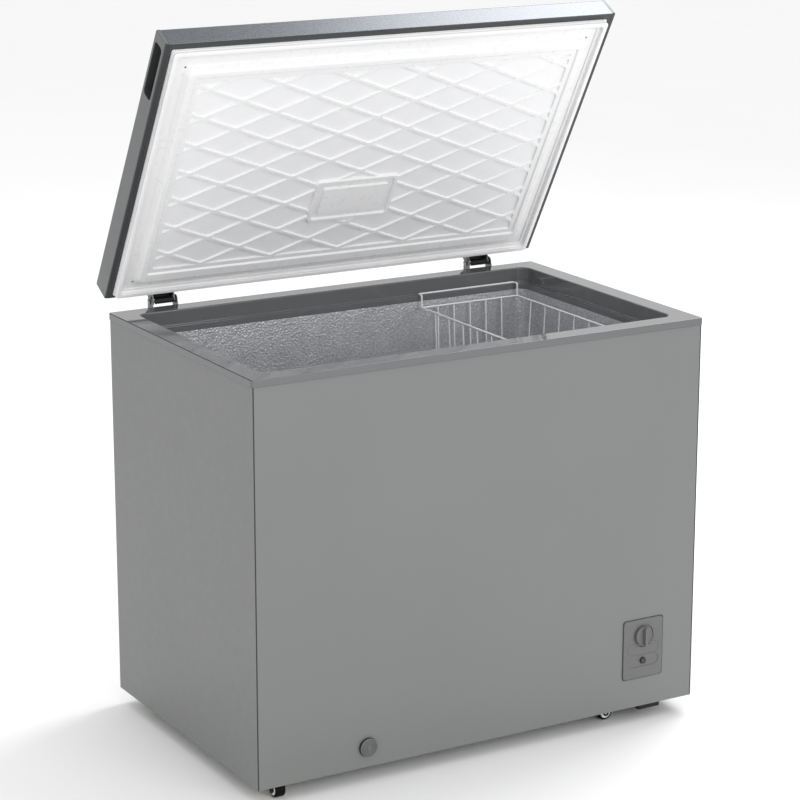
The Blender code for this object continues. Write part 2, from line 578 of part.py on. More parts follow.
def make_lid():
    hx, hy = LID_W / 2, LID_D / 2
    inner_x = hx - CAP_T - GAP
    low, high = LID_UNDER, LID_TOP
    t = SHEET
    ease = 0.002
    channel = [(-hy, low), (-hy, high - ease), (-hy + ease, high), (hy - ease, high), (hy, high - ease),
               (hy, low), (hy - t, low), (hy - t, high - ease - t), (hy - ease - t / 2, high - t),
               (-hy + ease + t / 2, high - t), (-hy + t, high - ease - t), (-hy + t, low)]
    finish("lid_skin", prism(channel, "X", -inner_x, inner_x), LID_STEEL, LID)

    handle_y = -hy + (HANDLE_LOW + HANDLE_HIGH) / 2
    handle_half = (HANDLE_HIGH - HANDLE_LOW) / 2
    handle_z = (low + high) / 2 + 0.001
    for side, name in ((-1, "lid_end_cap_left"), (1, "lid_end_cap_right")):
        mid = (low + high) / 2
        half = LID_T / 2
        cap = loft([(hy, half, 0.002, side * (hx - CAP_T), 0.0, mid),
                    (hy, half, 0.002, side * (hx - 0.001), 0.0, mid),
                    (hy - 0.001, half - 0.001, 0.002, side * hx, 0.0, mid)], "X", steps=2)
        cap_obj = finish(name, cap, RIM_PLASTIC, LID)
        long_half, tall_half = handle_half + HANDLE_WALL, HANDLE_H / 2 + HANDLE_WALL
        inner_end = side * (hx - HANDLE_DEPTH - 0.002)
        housing = loft([(long_half, tall_half, 0.009, inner_end, handle_y, handle_z),
                        (long_half, tall_half, 0.009, side * (hx - 0.004), handle_y, handle_z)], "X")
        boolean(cap_obj, housing, "UNION", LID)
        pocket_end = side * (hx - HANDLE_DEPTH)
        pocket = loft([(handle_half - 0.002, HANDLE_H / 2 - 0.001, 0.007, pocket_end, handle_y, handle_z),
                       (handle_half, HANDLE_H / 2, 0.008, side * (hx + 0.01), handle_y, handle_z)], "X")
        boolean(cap_obj, pocket, "DIFFERENCE", LID)

    cy = (TRIM_FRONT - TRIM_BACK) / 2
    open_x = hx - TRIM_SIDE
    open_y = hy - (TRIM_FRONT + TRIM_BACK) / 2
    outer_x = inner_x - GAP
    outer_y = hy - t - GAP
    frame = loft([(outer_x, outer_y, 0.001, low), (open_x, open_y, 0.004, low, 0.0, cy),
                  (open_x, open_y, 0.004, low + 0.004, 0.0, cy), (outer_x, outer_y, 0.001, low + 0.004)],
                 closed=True)
    finish("lid_frame", frame, DARK_PLASTIC, LID)

    foot_y = hy - (SLOPE_FRONT + SLOPE_BACK) / 2
    foot_c = (SLOPE_FRONT - SLOPE_BACK) / 2
    foot_x = SLOPE_X
    flange_x, flange_y = open_x - 0.0008, open_y - 0.0008
    drop = PLATEAU_DROP
    run = SLOPE_RUN
    wall = 0.002
    liner = loft([(foot_x - run - wall, foot_y - run - wall, 0.012, low - drop + wall, 0.0, foot_c),
                  (foot_x - wall, foot_y - wall, 0.016, low + wall, 0.0, foot_c),
                  (flange_x, flange_y, 0.004, low + wall, 0.0, cy),
                  (flange_x, flange_y, 0.004, low, 0.0, cy),
                  (foot_x, foot_y, 0.016, low, 0.0, foot_c),
                  (foot_x - run, foot_y - run, 0.012, low - drop, 0.0, foot_c)])
    finish("lid_liner", liner, WHITE, LID)

    seal = GASKET_FOOT
    gasket = loft([(flange_x - 0.001, flange_y - 0.001, 0.006, low - GAP, 0.0, cy),
                   (flange_x - 0.001, flange_y - 0.001, 0.006, low - 0.004, 0.0, cy),
                   (flange_x - 0.002, flange_y - 0.002, 0.006, RIM_TOP + seal + 0.002, 0.0, cy),
                   (flange_x - 0.004, flange_y - 0.004, 0.006, RIM_TOP + seal, 0.0, cy),
                   (flange_x - 0.014, flange_y - 0.014, 0.006, RIM_TOP + seal, 0.0, cy),
                   (flange_x - 0.016, flange_y - 0.016, 0.006, RIM_TOP + seal + 0.002, 0.0, cy),
                   (flange_x - 0.016, flange_y - 0.016, 0.006, low - GAP, 0.0, cy)], closed=True)
    finish("lid_gasket", gasket, GASKET_WHITE, LID)

    fill = finish("lid_foam", box((-inner_x + 0.001, -hy + t + GAP, low + 0.0045),
                                  (inner_x - 0.001, hy - t - GAP, high - t - GAP - 0.0025)), FOAM, LID)
    room_y, room_z = handle_half + HANDLE_WALL + GAP, HANDLE_H / 2 + HANDLE_WALL + GAP
    for side in (-1, 1):
        x = sorted((side * (hx - HANDLE_DEPTH - 0.0025), side * (hx + 0.01)))
        boolean(fill, box((x[0], handle_y - room_y, handle_z - room_z),
                          (x[1], handle_y + room_y, handle_z + room_z)), "DIFFERENCE", LID)


def make_hinge(side, word):
    """One sprung hinge: a bracket on the cabinet's back, one on the lid, a pin, a spring and a cover."""
    xc = side * HINGE_X
    back = HALF_D + LIP_OVER + GAP
    lip_low = RIM_TOP - LIP_H - GAP
    foot = RIM_TOP - 0.078
    base_y = HALF_D + GAP
    round_top = arc(PIN_Y, PIN_Z, 0.0105, -20, 180, 8)
    cheek = [(base_y, foot), (0.3120, foot), (0.3262, RIM_TOP - 0.030)] + round_top
    cheek += [(back + 0.0012, RIM_TOP - 0.006), (back + 0.0012, lip_low - 0.001), (base_y, lip_low - 0.001)]
    plate = box((xc - CHEEK_OUT, base_y, foot), (xc + CHEEK_OUT, base_y + CHEEK_T, lip_low - 0.002))
    lower = finish(f"hinge_lower_bracket_{word}", plate, ZINC)
    for edge in (-1, 1):
        x = sorted((xc + edge * CHEEK_OUT, xc + edge * (CHEEK_OUT - CHEEK_T)))
        boolean(lower, prism(cheek, "X", x[0], x[1]), "UNION")
    hole = [(PIN_HOLE_R, xc - 0.05), (PIN_HOLE_R, xc + 0.05)]
    boolean(lower, turned(hole, (0, PIN_Y, PIN_Z), "X"))

    leaf_y = LID_D / 2 + GAP
    leaf = box((xc - CHEEK_IN, leaf_y, LID_UNDER + 0.002), (xc + CHEEK_IN, leaf_y + CHEEK_T, LID_TOP - 0.006))
    upper = finish(f"hinge_upper_bracket_{word}", leaf, ZINC, LID)
    eye = [(leaf_y, LID_UNDER + 0.030), (leaf_y, LID_UNDER + 0.002)] + arc(PIN_Y, PIN_Z, 0.0075, 190, 380, 7)
    eye += [(PIN_Y + 0.0065, PIN_Z + 0.008), (leaf_y + 0.012, LID_UNDER + 0.030)]
    for edge in (-1, 1):
        x = sorted((xc + edge * CHEEK_IN, xc + edge * (CHEEK_IN - CHEEK_T)))
        boolean(upper, prism(eye, "X", x[0], x[1]), "UNION", LID)
    boolean(upper, turned(hole, (0, PIN_Y, PIN_Z), "X"), "DIFFERENCE", LID)

    head = 0.0052
    ends = CHEEK_OUT + 0.0004
    pin = [(head - 0.001, -ends - 0.002), (head, -ends - 0.001), (head, -ends), (PIN_R, -ends),
           (PIN_R, ends), (head, ends), (head, ends + 0.001), (head - 0.001, ends + 0.002)]
    finish(f"hinge_pin_{word}", turned([(r, xc + w) for r, w in pin], (0, PIN_Y, PIN_Z), "X", 16), CHROME)

    turns, per_turn, coil_r, wire_r = 7, 8, 0.0056, 0.0011
    points = []
    coil_half = 0.018
    for i in range(turns * per_turn + 1):
        a = 2 * math.pi * i / per_turn
        x = xc - coil_half + 2 * coil_half * i / (turns * per_turn)
        points.append((x, PIN_Y + coil_r * math.cos(a), PIN_Z + coil_r * math.sin(a)))
    tube(f"hinge_spring_{word}", points, wire_r, CHROME, 0)

    cover_y = leaf_y + CHEEK_T + GAP
    inside = CHEEK_IN - CHEEK_T - GAP
    cover_low, cover_high = LID_UNDER + 0.0045, LID_UNDER + 0.034
    cover = [(cover_y, cover_low), (PIN_Y - 0.001, cover_low), (PIN_Y + 0.0055, LID_UNDER + 0.010),
             (PIN_Y + 0.0055, LID_UNDER + 0.030), (PIN_Y + 0.001, cover_high), (cover_y, cover_high)]
    finish(f"hinge_cover_{word}", prism(cover, "X", xc - inside, xc + inside), BLACK, LID)


def wire_mesh(points, radius=WIRE_R, sides=5):
    """A closed round wire along points, with its rings square to the bends."""
    route = [Vector(p) for p in points]
    loops = []
    up = None
    for i, point in enumerate(route):
        before = route[max(i - 1, 0)]
        after = route[min(i + 1, len(route) - 1)]
        along = (after - before).normalized()
        if up is None:
            up = Vector((0.31, 0.27, 0.91)).cross(along).normalized()
        up = (up - along * up.dot(along)).normalized()
        across = along.cross(up)
        turns = [2 * math.pi * k / sides for k in range(sides)]
        loops.append([point + up * radius * math.cos(a) + across * radius * math.sin(a) for a in turns])
    return skin(loops)


def wire_panel(name, wires, axis):
    """One welded panel of the basket: its first wire, with every other wire joined on."""
    panel = finish(name, merge(*wires[1:]), WIRE, axis)
    return boolean(panel, wires[0], "UNION", axis, use_self=True)


def wire_loop(points, radius=WIRE_R, sides=5):
    """A closed hoop of wire lying flat."""
    ring = [Vector(p) for p in points]
    loops = []
    for i, point in enumerate(ring):
        along = (ring[(i + 1) % len(ring)] - ring[i - 1]).normalized()
        out = along.cross(Vector((0, 0, 1)))
        turns = [2 * math.pi * k / sides for k in range(sides)]
        up = Vector((0, 0, 1))
        loops.append([point + out * radius * math.cos(a) + up * radius * math.sin(a) for a in turns])
    return skin(loops, closed=True)


def make_basket():
    """Four upright panels and a floor grid of wire, hung from the ledge by the front and back panels."""
    axis = empty("basket_axis", ((BASKET_X0 + BASKET_X1) / 2, 0.0, BASKET_RIM_Z), ROOT)
    x0, x1, y1 = BASKET_X0, BASKET_X1, BASKET_Y
    top, low, taper = BASKET_RIM_Z, BASKET_FLOOR_Z, BASKET_TAPER
    foot = low + PANEL_RISE
    inset = taper * (top - foot) / (top - low)
    clear = 2 * WIRE_R + GAP

    xs = [x0 + (x1 - x0) * k / SHORT_GAPS for k in range(1, SHORT_GAPS)]
    for side, name in ((-1, "basket_front"), (1, "basket_back")):
        y = side * y1
        y_foot = side * (y1 - inset)
        ledge_y = side * HANGER_Y
        wires = [wire_mesh([(x0 + clear, y, top), (x1 - clear, y, top)], RIM_WIRE_R)]
        wires.append(wire_mesh([(x0 + inset + clear, y_foot, foot), (x1 - inset - clear, y_foot, foot)]))
        wires += [wire_mesh([(x, y, top), (x, y_foot, foot)]) for x in xs]
        left, right = x0 + clear + WIRE_R, x1 - clear - WIRE_R
        route = [(left, y, top), (left, y, HANGER_Z), (left, ledge_y, HANGER_Z), (right, ledge_y, HANGER_Z),
                 (right, y, HANGER_Z), (right, y, top)]
        wires.append(wire_mesh(rounded_path(route, HANGER_BEND, 2)))
        wire_panel(name, wires, axis)

    ys = [-y1 + 2 * y1 * k / LONG_GAPS for k in range(1, LONG_GAPS)]
    for side, name in ((-1, "basket_left"), (1, "basket_right")):
        x = x0 if side < 0 else x1
        x_foot = x - side * inset
        wires = [wire_mesh([(x, -y1, top), (x, y1, top)], RIM_WIRE_R)]
        wires.append(wire_mesh([(x_foot, -y1 + inset, foot), (x_foot, y1 - inset, foot)]))
        wires += [wire_mesh([(x, y, top), (x_foot, y, foot)]) for y in ys]
        wire_panel(name, wires, axis)

    edge_x = (x1 - x0) / 2 - taper
    edge_y = y1 - taper
    middle = (x0 + x1) / 2
    hoop = [(x, y, low) for x, y in rounded_rect(edge_x, edge_y, 0.008, middle, 0.0, steps=2)]
    wires = [wire_loop(hoop)]
    weld = 2 * WIRE_R - 0.0008
    wires += [wire_mesh([(x, -edge_y, low), (x, edge_y, low)]) for x in xs]
    wires += [wire_mesh([(middle - edge_x, y, low + weld), (middle + edge_x, y, low + weld)]) for y in ys]
    wire_panel("basket_floor", wires, axis)


def make_caster(word, pivot, wheel, swivels):
    """A caster: its housing, and a wheel that turns on its own journals."""
    px, py = pivot
    wx, wy = wheel
    turn = empty(f"{word}_swivel_axis", (px, py, WHEEL_R), ROOT) if swivels else None
    spin = empty(f"{word}_spin_axis", (wx, wy, WHEEL_R), ROOT)
    along_x = not swivels or abs(wx - px) < 1e-6
    axis = "X" if along_x else "Y"
    half = WHEEL_W / 2
    offset = {"X": wx, "Y": wy}[axis]
    base = {"X": (0, wy, WHEEL_R), "Y": (wx, 0, WHEEL_R)}[axis]
    wheel_half = [(JOURNAL_R, -half - 0.0032), (JOURNAL_R, -half - 0.0004), (0.0100, -half - 0.0004),
                  (0.0105, -half), (WHEEL_R - 0.001, -half), (WHEEL_R, -half + 0.001)]
    profile = wheel_half + [(r, -w) for r, w in reversed(wheel_half)]
    finish(f"{word}_wheel", turned([(r, offset + w) for r, w in profile], base, axis, 24), RUBBER, spin)

    roof = POCKET_TOP - GAP
    top_low = 2 * WHEEL_R + 0.0015
    arm_in = half + 0.0010
    arm_out = half + 0.0030
    reach = 0.0065
    if swivels:
        body = turned([(0.0190, top_low), (0.0190, roof - 0.004), (0.0160, roof)], (px, py, 0))
        name = f"{word}_caster_fork"
    else:
        body = box((wx - arm_out, wy - 0.020, top_low), (wx + arm_out, wy + 0.020, roof))
        name = f"{word}_caster_bracket"
    fork = finish(name, body, BLACK, turn)
    for edge in (-1, 1):
        w = sorted((edge * arm_in, edge * arm_out))
        centre_u = wy if along_x else wx
        pivot_u = py if along_x else px
        toward = 1 if pivot_u >= centre_u else -1
        cheek = arc(centre_u, WHEEL_R, reach, 180, 360, 8)
        if toward > 0:
            cheek += [(pivot_u + 0.008, roof - 0.006), (centre_u - 0.004, roof - 0.006)]
        else:
            cheek += [(centre_u + 0.004, roof - 0.006), (pivot_u - 0.008, roof - 0.006)]
        boolean(fork, prism(cheek, axis, offset + w[0], offset + w[1]), "UNION", turn)
    bore = [(JOURNAL_HOLE_R, offset - 0.03), (JOURNAL_HOLE_R, offset + 0.03)]
    boolean(fork, turned(bore, base, axis, 24), "DIFFERENCE", turn)


make_outer_case()
make_liner()
make_foam()
make_coils()
make_top_frame()
make_compressor_bay()
make_covers()
make_controls()
make_drain()
make_lid()
for hinge_side, hinge_word in ((-1, "left"), (1, "right")):
    make_hinge(hinge_side, hinge_word)
make_basket()
make_caster("front_left", FRONT_PIVOTS[0], FRONT_WHEELS[0], True)
make_caster("front_right", FRONT_PIVOTS[1], FRONT_WHEELS[1], True)
make_caster("rear_left", REAR_WHEELS[0], REAR_WHEELS[0], False)
make_caster("rear_right", REAR_WHEELS[1], REAR_WHEELS[1], False)
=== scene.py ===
"""Looks for the chest freezer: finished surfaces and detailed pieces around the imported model.

Metres, in the model's own frame. Pieces of the lid are built as if the lid were shut and then turned
open about the hinge, so their sizes read like those of the closed freezer.
"""

import json
import math

import bmesh
import bpy
from mathutils import Matrix, Vector


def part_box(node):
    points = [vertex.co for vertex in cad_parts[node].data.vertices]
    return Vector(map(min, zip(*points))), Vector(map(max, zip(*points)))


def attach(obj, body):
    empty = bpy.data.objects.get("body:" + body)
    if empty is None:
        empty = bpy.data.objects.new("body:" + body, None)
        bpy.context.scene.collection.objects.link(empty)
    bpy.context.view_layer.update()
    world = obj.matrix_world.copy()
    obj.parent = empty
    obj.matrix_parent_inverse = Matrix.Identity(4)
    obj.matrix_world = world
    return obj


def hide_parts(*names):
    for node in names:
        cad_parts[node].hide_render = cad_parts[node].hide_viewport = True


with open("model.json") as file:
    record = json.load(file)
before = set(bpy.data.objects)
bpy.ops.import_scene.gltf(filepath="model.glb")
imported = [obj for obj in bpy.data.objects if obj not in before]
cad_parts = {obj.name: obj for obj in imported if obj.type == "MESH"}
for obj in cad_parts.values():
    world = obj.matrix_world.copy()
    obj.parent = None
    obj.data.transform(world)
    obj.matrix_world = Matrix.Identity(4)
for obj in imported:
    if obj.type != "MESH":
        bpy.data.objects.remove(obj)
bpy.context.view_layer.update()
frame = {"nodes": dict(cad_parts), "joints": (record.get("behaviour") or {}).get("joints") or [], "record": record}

SLOT_OF = {part["node"]: part["material_slot"] for part in frame["record"]["subparts"]}
BODY_OF = {node: body for body, nodes in frame["record"]["behaviour"]["bodies"].items() for node in nodes}
HINGE = next(joint for joint in frame["joints"] if joint["name"] == "lid_hinge")
PIN = Vector(HINGE["pos_m"])
OPEN_ANGLE = math.radians(HINGE["range_deg"][1])
OPEN_LID = Matrix.Translation(PIN) @ Matrix.Rotation(-OPEN_ANGLE, 4, "X") @ Matrix.Translation(-PIN)

# Camera
CAMERA_AT = (-2.4609, -4.2397, 1.9273)
CAMERA_YAW = 0.5260
CAMERA_PITCH = 0.2602
CAMERA_ROLL = 0.0009
LENS_MM = 118.6
SENSOR_MM = 36.0

# End caps of the lid
CAP_SHADE = 0.0030
POCKET_REACH = 0.160

# Dimple in the top of the rim, near its front edge
DIMPLE_X = 0.1370
DIMPLE_IN = 0.0235

# Lid panel, measured on the shut lid
PLATEAU_X = 0.4335
PLATEAU_FRONT = 0.0513
PLATEAU_BACK = 0.0340
SLOPE_RUN = 0.0090
SLOPE_R = 0.0130
FIELD_X = 0.4125
FIELD_BACK = 0.0620
FIELD_FRONT = 0.5275
FIELD_DEPTH = 0.0030
CELL_DEPTH = 0.0038
CELLS_X = 0.4015
CELLS_BACK = 0.0725
CELLS_FRONT = 0.5160
CELL_W = 0.1500
CELL_H = 0.0652
RIB_HALF = 0.0024
RIB_RUN = 0.0020
CELL_CORNER = 0.0050
VENT_IN = 0.0026
BADGE_BACK = 0.2010
BADGE_HX = 0.0915
BADGE_HY = 0.0515
BADGE_RIM = 0.0075
BADGE_BAND = 0.0140


# ---------------------------------------------------------------- meshes

def corner_points(hx, hy, r, cx=0.0, cy=0.0, steps=8):
    """A rounded rectangle, anticlockwise, as points of two coordinates."""
    points = []
    for k, (sx, sy) in enumerate(((1, 1), (-1, 1), (-1, -1), (1, -1))):
        for i in range(steps + 1):
            a = math.radians(90 * k + 90 * i / steps)
            points.append((cx + sx * (hx - r) + r * math.cos(a), cy + sy * (hy - r) + r * math.sin(a)))
    return points


def on_axis(axis, u, v, w):
    """The point (u, v) of a cross-section at w along an axis."""
    return {"X": (w, u, v), "Y": (u, w, v), "Z": (u, v, w)}[axis]


def skin(loops, closed=False):
    """Joins loops of equal length with quads; the end loops are filled unless the skin is closed."""
    bm = bmesh.new()
    rings = [[bm.verts.new(point) for point in loop] for loop in loops]
    count = len(rings[0])
    pairs = list(zip(rings, rings[1:]))
    if closed:
        pairs.append((rings[-1], rings[0]))
    for low, high in pairs:
        for i in range(count):
            j = (i + 1) % count
            bm.faces.new((low[i], low[j], high[j], high[i]))
    if not closed:
        bm.faces.new(rings[0])
        bm.faces.new(rings[-1])
    return bm


def loft(stations, axis="Z", closed=False, steps=8):
    """Rounded rectangles (half size, half size, corner radius, height[, centre, centre]) joined in order."""
    loops = []
    for hx, hy, r, w, *centre in stations:
        loops.append([on_axis(axis, u, v, w) for u, v in corner_points(hx, hy, r, *centre, steps=steps)])
    return skin(loops, closed)


def turned(profile, centre, axis="Z", steps=48, closed=False):
    """Circles (radius, height) about an axis through centre, joined in order."""
    middle_at = Vector(centre)
    turns = [2 * math.pi * i / steps for i in range(steps)]
    loops = []
    for r, w in profile:
        ring = [on_axis(axis, r * math.cos(a), r * math.sin(a), w) for a in turns]
        loops.append([Vector(point) + middle_at for point in ring])
    return skin(loops, closed)


def prism(points, axis, low, high):
    """An outline drawn out along an axis."""
    return skin([[on_axis(axis, u, v, w) for u, v in points] for w in (low, high)])


def arc(cx, cy, r, start, end, steps=6):
    """Points along an arc; the angles are in degrees."""
    turn = [math.radians(start + (end - start) * i / steps) for i in range(steps + 1)]
    return [(cx + r * math.cos(a), cy + r * math.sin(a)) for a in turn]


def merge(meshes):
    """One bmesh from several that lie apart."""
    whole = bmesh.new()
    for bm in meshes:
        part = bpy.data.meshes.new("part")
        bm.to_mesh(part)
        bm.free()
        whole.from_mesh(part)
        bpy.data.meshes.remove(part)
    return whole


def link(name, bm, mat, sharp_deg=35):
    """A mesh object in the scene, smooth except where its faces meet at more than sharp_deg."""
    bmesh.ops.recalc_face_normals(bm, faces=bm.faces)
    mesh = bpy.data.meshes.new(name)
    bm.to_mesh(mesh)
    bm.free()
    mesh.shade_smooth()
    mesh.set_sharp_from_angle(angle=math.radians(sharp_deg))
    if mat is not None:
        mesh.materials.append(mat)
    obj = bpy.data.objects.new(name, mesh)
    bpy.context.scene.collection.objects.link(obj)
    return obj


def apply_modifiers(obj):
    """Bakes an object's modifiers into its mesh."""
    made = bpy.data.meshes.new_from_object(obj.evaluated_get(bpy.context.evaluated_depsgraph_get()))
    obj.modifiers.clear()
    obj.data = made


def cut(obj, tool_bm, operation="DIFFERENCE"):
    """Cuts a tool out of an object, or joins it on."""
    tool = link("tool", tool_bm, None)
    change = obj.modifiers.new("cut", "BOOLEAN")
    change.operation = operation
    change.solver = "EXACT"
    change.object = tool
    bpy.context.view_layer.update()
    apply_modifiers(obj)
    bpy.data.objects.remove(tool)


def soften(obj, width, segments=2, angle_deg=30):
    """Rounds an object's edges with a narrow bevel."""
    change = obj.modifiers.new("soften", "BEVEL")
    change.width = width
    change.segments = segments
    change.limit_method = "ANGLE"
    change.angle_limit = math.radians(angle_deg)
    change.harden_normals = False
    return obj


def place(obj, slot, *nodes, body=None, shut_lid=False):
    """Puts a finished piece on its body, in place of the CAD nodes that it stands for."""
    if shut_lid:
        obj.data.transform(OPEN_LID)
    if obj.type == "MESH":
        normals = obj.modifiers.new("flat_faces_stay_flat", "WEIGHTED_NORMAL")
        normals.keep_sharp = True
    if nodes:
        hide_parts(*nodes)
    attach(obj, body or BODY_OF[nodes[0]])
    return obj


def shut_box(node):
    """The lowest and highest corner of a lid node with the lid shut."""
    back = OPEN_LID.inverted()
    points = [back @ vertex.co for vertex in frame["nodes"][node].data.vertices]
    low = Vector(min(p[k] for p in points) for k in range(3))
    high = Vector(max(p[k] for p in points) for k in range(3))
    return low, high


# ---------------------------------------------------------------- materials

class Surface:
    """A Principled material with its colour, roughness and relief made by procedural nodes."""

    def __init__(self, name, colour, roughness, metallic=0.0):
        self.mat = bpy.data.materials.new(name)
        self.mat.use_nodes = True
        self.mat.diffuse_color = (*colour, 1.0)
        self.nodes = self.mat.node_tree.nodes
        self.links = self.mat.node_tree.links
        self.shader = self.nodes["Principled BSDF"]
        self.shader.inputs["Metallic"].default_value = metallic
        self.shader.inputs["Base Color"].default_value = (*colour, 1.0)
        self.shader.inputs["Roughness"].default_value = roughness
        self.colour = colour
        self.roughness = roughness
        self.place = self.nodes.new("ShaderNodeTexCoord").outputs["Object"]
        self.height = None

    def stretched(self, scale):
        mapping = self.nodes.new("ShaderNodeMapping")
        mapping.inputs["Scale"].default_value = scale
        self.links.new(self.place, mapping.inputs["Vector"])
        return mapping.outputs["Vector"]

    def noise(self, scale, detail=3.0, stretch=(1, 1, 1)):
        tex = self.nodes.new("ShaderNodeTexNoise")
        tex.inputs["Scale"].default_value = scale
        tex.inputs["Detail"].default_value = detail
        self.links.new(self.stretched(stretch), tex.inputs["Vector"])
        return tex.outputs["Fac"]

    def cells(self, scale, smooth=0.4):
        tex = self.nodes.new("ShaderNodeTexVoronoi")
        tex.feature = "SMOOTH_F1"
        tex.inputs["Scale"].default_value = scale
        tex.inputs["Smoothness"].default_value = smooth
        self.links.new(self.stretched((1, 1, 1)), tex.inputs["Vector"])
        return tex.outputs["Distance"]

    def ranged(self, value, low, high, source=(0.3, 0.7)):
        span = self.nodes.new("ShaderNodeMapRange")
        span.inputs["From Min"].default_value = source[0]
        span.inputs["From Max"].default_value = source[1]
        span.inputs["To Min"].default_value = low
        span.inputs["To Max"].default_value = high
        self.links.new(value, span.inputs["Value"])
        return span.outputs["Result"]

    def mottle(self, value, spread, source=(0.3, 0.7)):
        """Varies the colour's brightness by spread either way."""
        ramp = self.nodes.new("ShaderNodeValToRGB")
        ramp.color_ramp.elements[0].position = source[0]
        ramp.color_ramp.elements[1].position = source[1]
        ramp.color_ramp.elements[0].color = (*[c * (1 - spread) for c in self.colour], 1.0)
        ramp.color_ramp.elements[1].color = (*[min(c * (1 + spread), 1.0) for c in self.colour], 1.0)
        self.links.new(value, ramp.inputs["Fac"])
        self.links.new(ramp.outputs["Color"], self.shader.inputs["Base Color"])
        return self

    def gloss(self, value, spread, source=(0.3, 0.7)):
        """Varies the roughness by spread either way."""
        result = self.ranged(value, self.roughness - spread, self.roughness + spread, source)
        self.links.new(result, self.shader.inputs["Roughness"])
        return self

    def relief(self, value, distance, strength=1.0):
        """Adds a bump on top of those before it."""
        bump = self.nodes.new("ShaderNodeBump")
        bump.inputs["Distance"].default_value = distance
        bump.inputs["Strength"].default_value = strength
        self.links.new(value, bump.inputs["Height"])
        if self.height is not None:
            self.links.new(self.height, bump.inputs["Normal"])
        self.height = bump.outputs["Normal"]
        self.links.new(self.height, self.shader.inputs["Normal"])
        return self


def painted(name, colour, roughness):
    """Pre-painted steel sheet: a faint waviness and a fine orange peel."""
    s = Surface(name, colour, roughness)
    s.mottle(s.noise(3.5, 2.0), 0.015)
    s.gloss(s.noise(60, 4.0), 0.03)
    s.relief(s.noise(700, 2.0), 0.00004, 0.5)
    s.relief(s.noise(5, 1.0), 0.002, 0.06)
    return s.mat


def moulded(name, colour, roughness, grain=900, depth=0.00005, spread=0.03, specular=0.5):
    """Moulded plastic with a fine grain and slight changes of gloss."""
    s = Surface(name, colour, roughness)
    s.shader.inputs["Specular IOR Level"].default_value = specular
    s.mottle(s.noise(9, 3.0), spread)
    s.gloss(s.noise(45, 4.0), min(0.04, roughness / 4))
    s.relief(s.noise(grain, 2.0), depth, 0.6)
    return s.mat


def speckled(name, colour, roughness):
    """Dark steel with a fine speckle, slightly drawn out along its length."""
    s = Surface(name, colour, roughness, 0.92)
    grain = s.noise(1.0, 3.0, (260, 620, 620))
    s.mottle(grain, 0.12, (0.35, 0.65))
    s.gloss(grain, 0.05)
    s.relief(grain, 0.00003, 0.5)
    return s.mat


def stucco(name, colour, roughness):
    """Stucco-embossed aluminium sheet."""
    s = Surface(name, colour, roughness, 0.7)
    s.mottle(s.noise(230, 3.0), 0.20)
    s.gloss(s.noise(25, 3.0), 0.05)
    s.relief(s.cells(250), 0.0008, 0.9)
    s.relief(s.noise(1200, 2.0), 0.0001, 0.5)
    return s.mat


def thermoformed(name, colour, roughness, grain):
    """White sheet plastic drawn over a mould, with a grained face."""
    s = Surface(name, colour, roughness)
    s.mottle(s.noise(14, 4.0), 0.012)
    s.gloss(s.noise(80, 4.0), 0.05)
    s.relief(s.noise(620, 3.0), grain, 0.6)
    return s.mat


def plated(name, colour, roughness):
    """Zinc or chrome plate, slightly cloudy."""
    s = Surface(name, colour, roughness, 1.0)
    s.mottle(s.noise(70, 4.0), 0.08)
    s.gloss(s.noise(160, 4.0), 0.07)
    return s.mat


def rubbery(name, colour, roughness):
    """Dull black rubber."""
    s = Surface(name, colour, roughness)
    s.shader.inputs["Specular IOR Level"].default_value = 0.15
    s.mottle(s.noise(120, 3.0), 0.15)
    s.gloss(s.noise(200, 3.0), 0.06)
    s.relief(s.noise(1400, 2.0), 0.00008, 0.7)
    return s.mat


def foamed(name, colour, roughness):
    """Rigid foam with an open, bubbly cut face."""
    s = Surface(name, colour, roughness)
    s.mottle(s.noise(60, 5.0), 0.12)
    s.relief(s.cells(500), 0.0008, 0.8)
    return s.mat


def lens(name, colour, roughness):
    """A glossy lamp lens."""
    s = Surface(name, colour, roughness)
    s.shader.inputs["Coat Weight"].default_value = 0.6
    s.mottle(s.noise(300, 2.0), 0.2)
    return s.mat


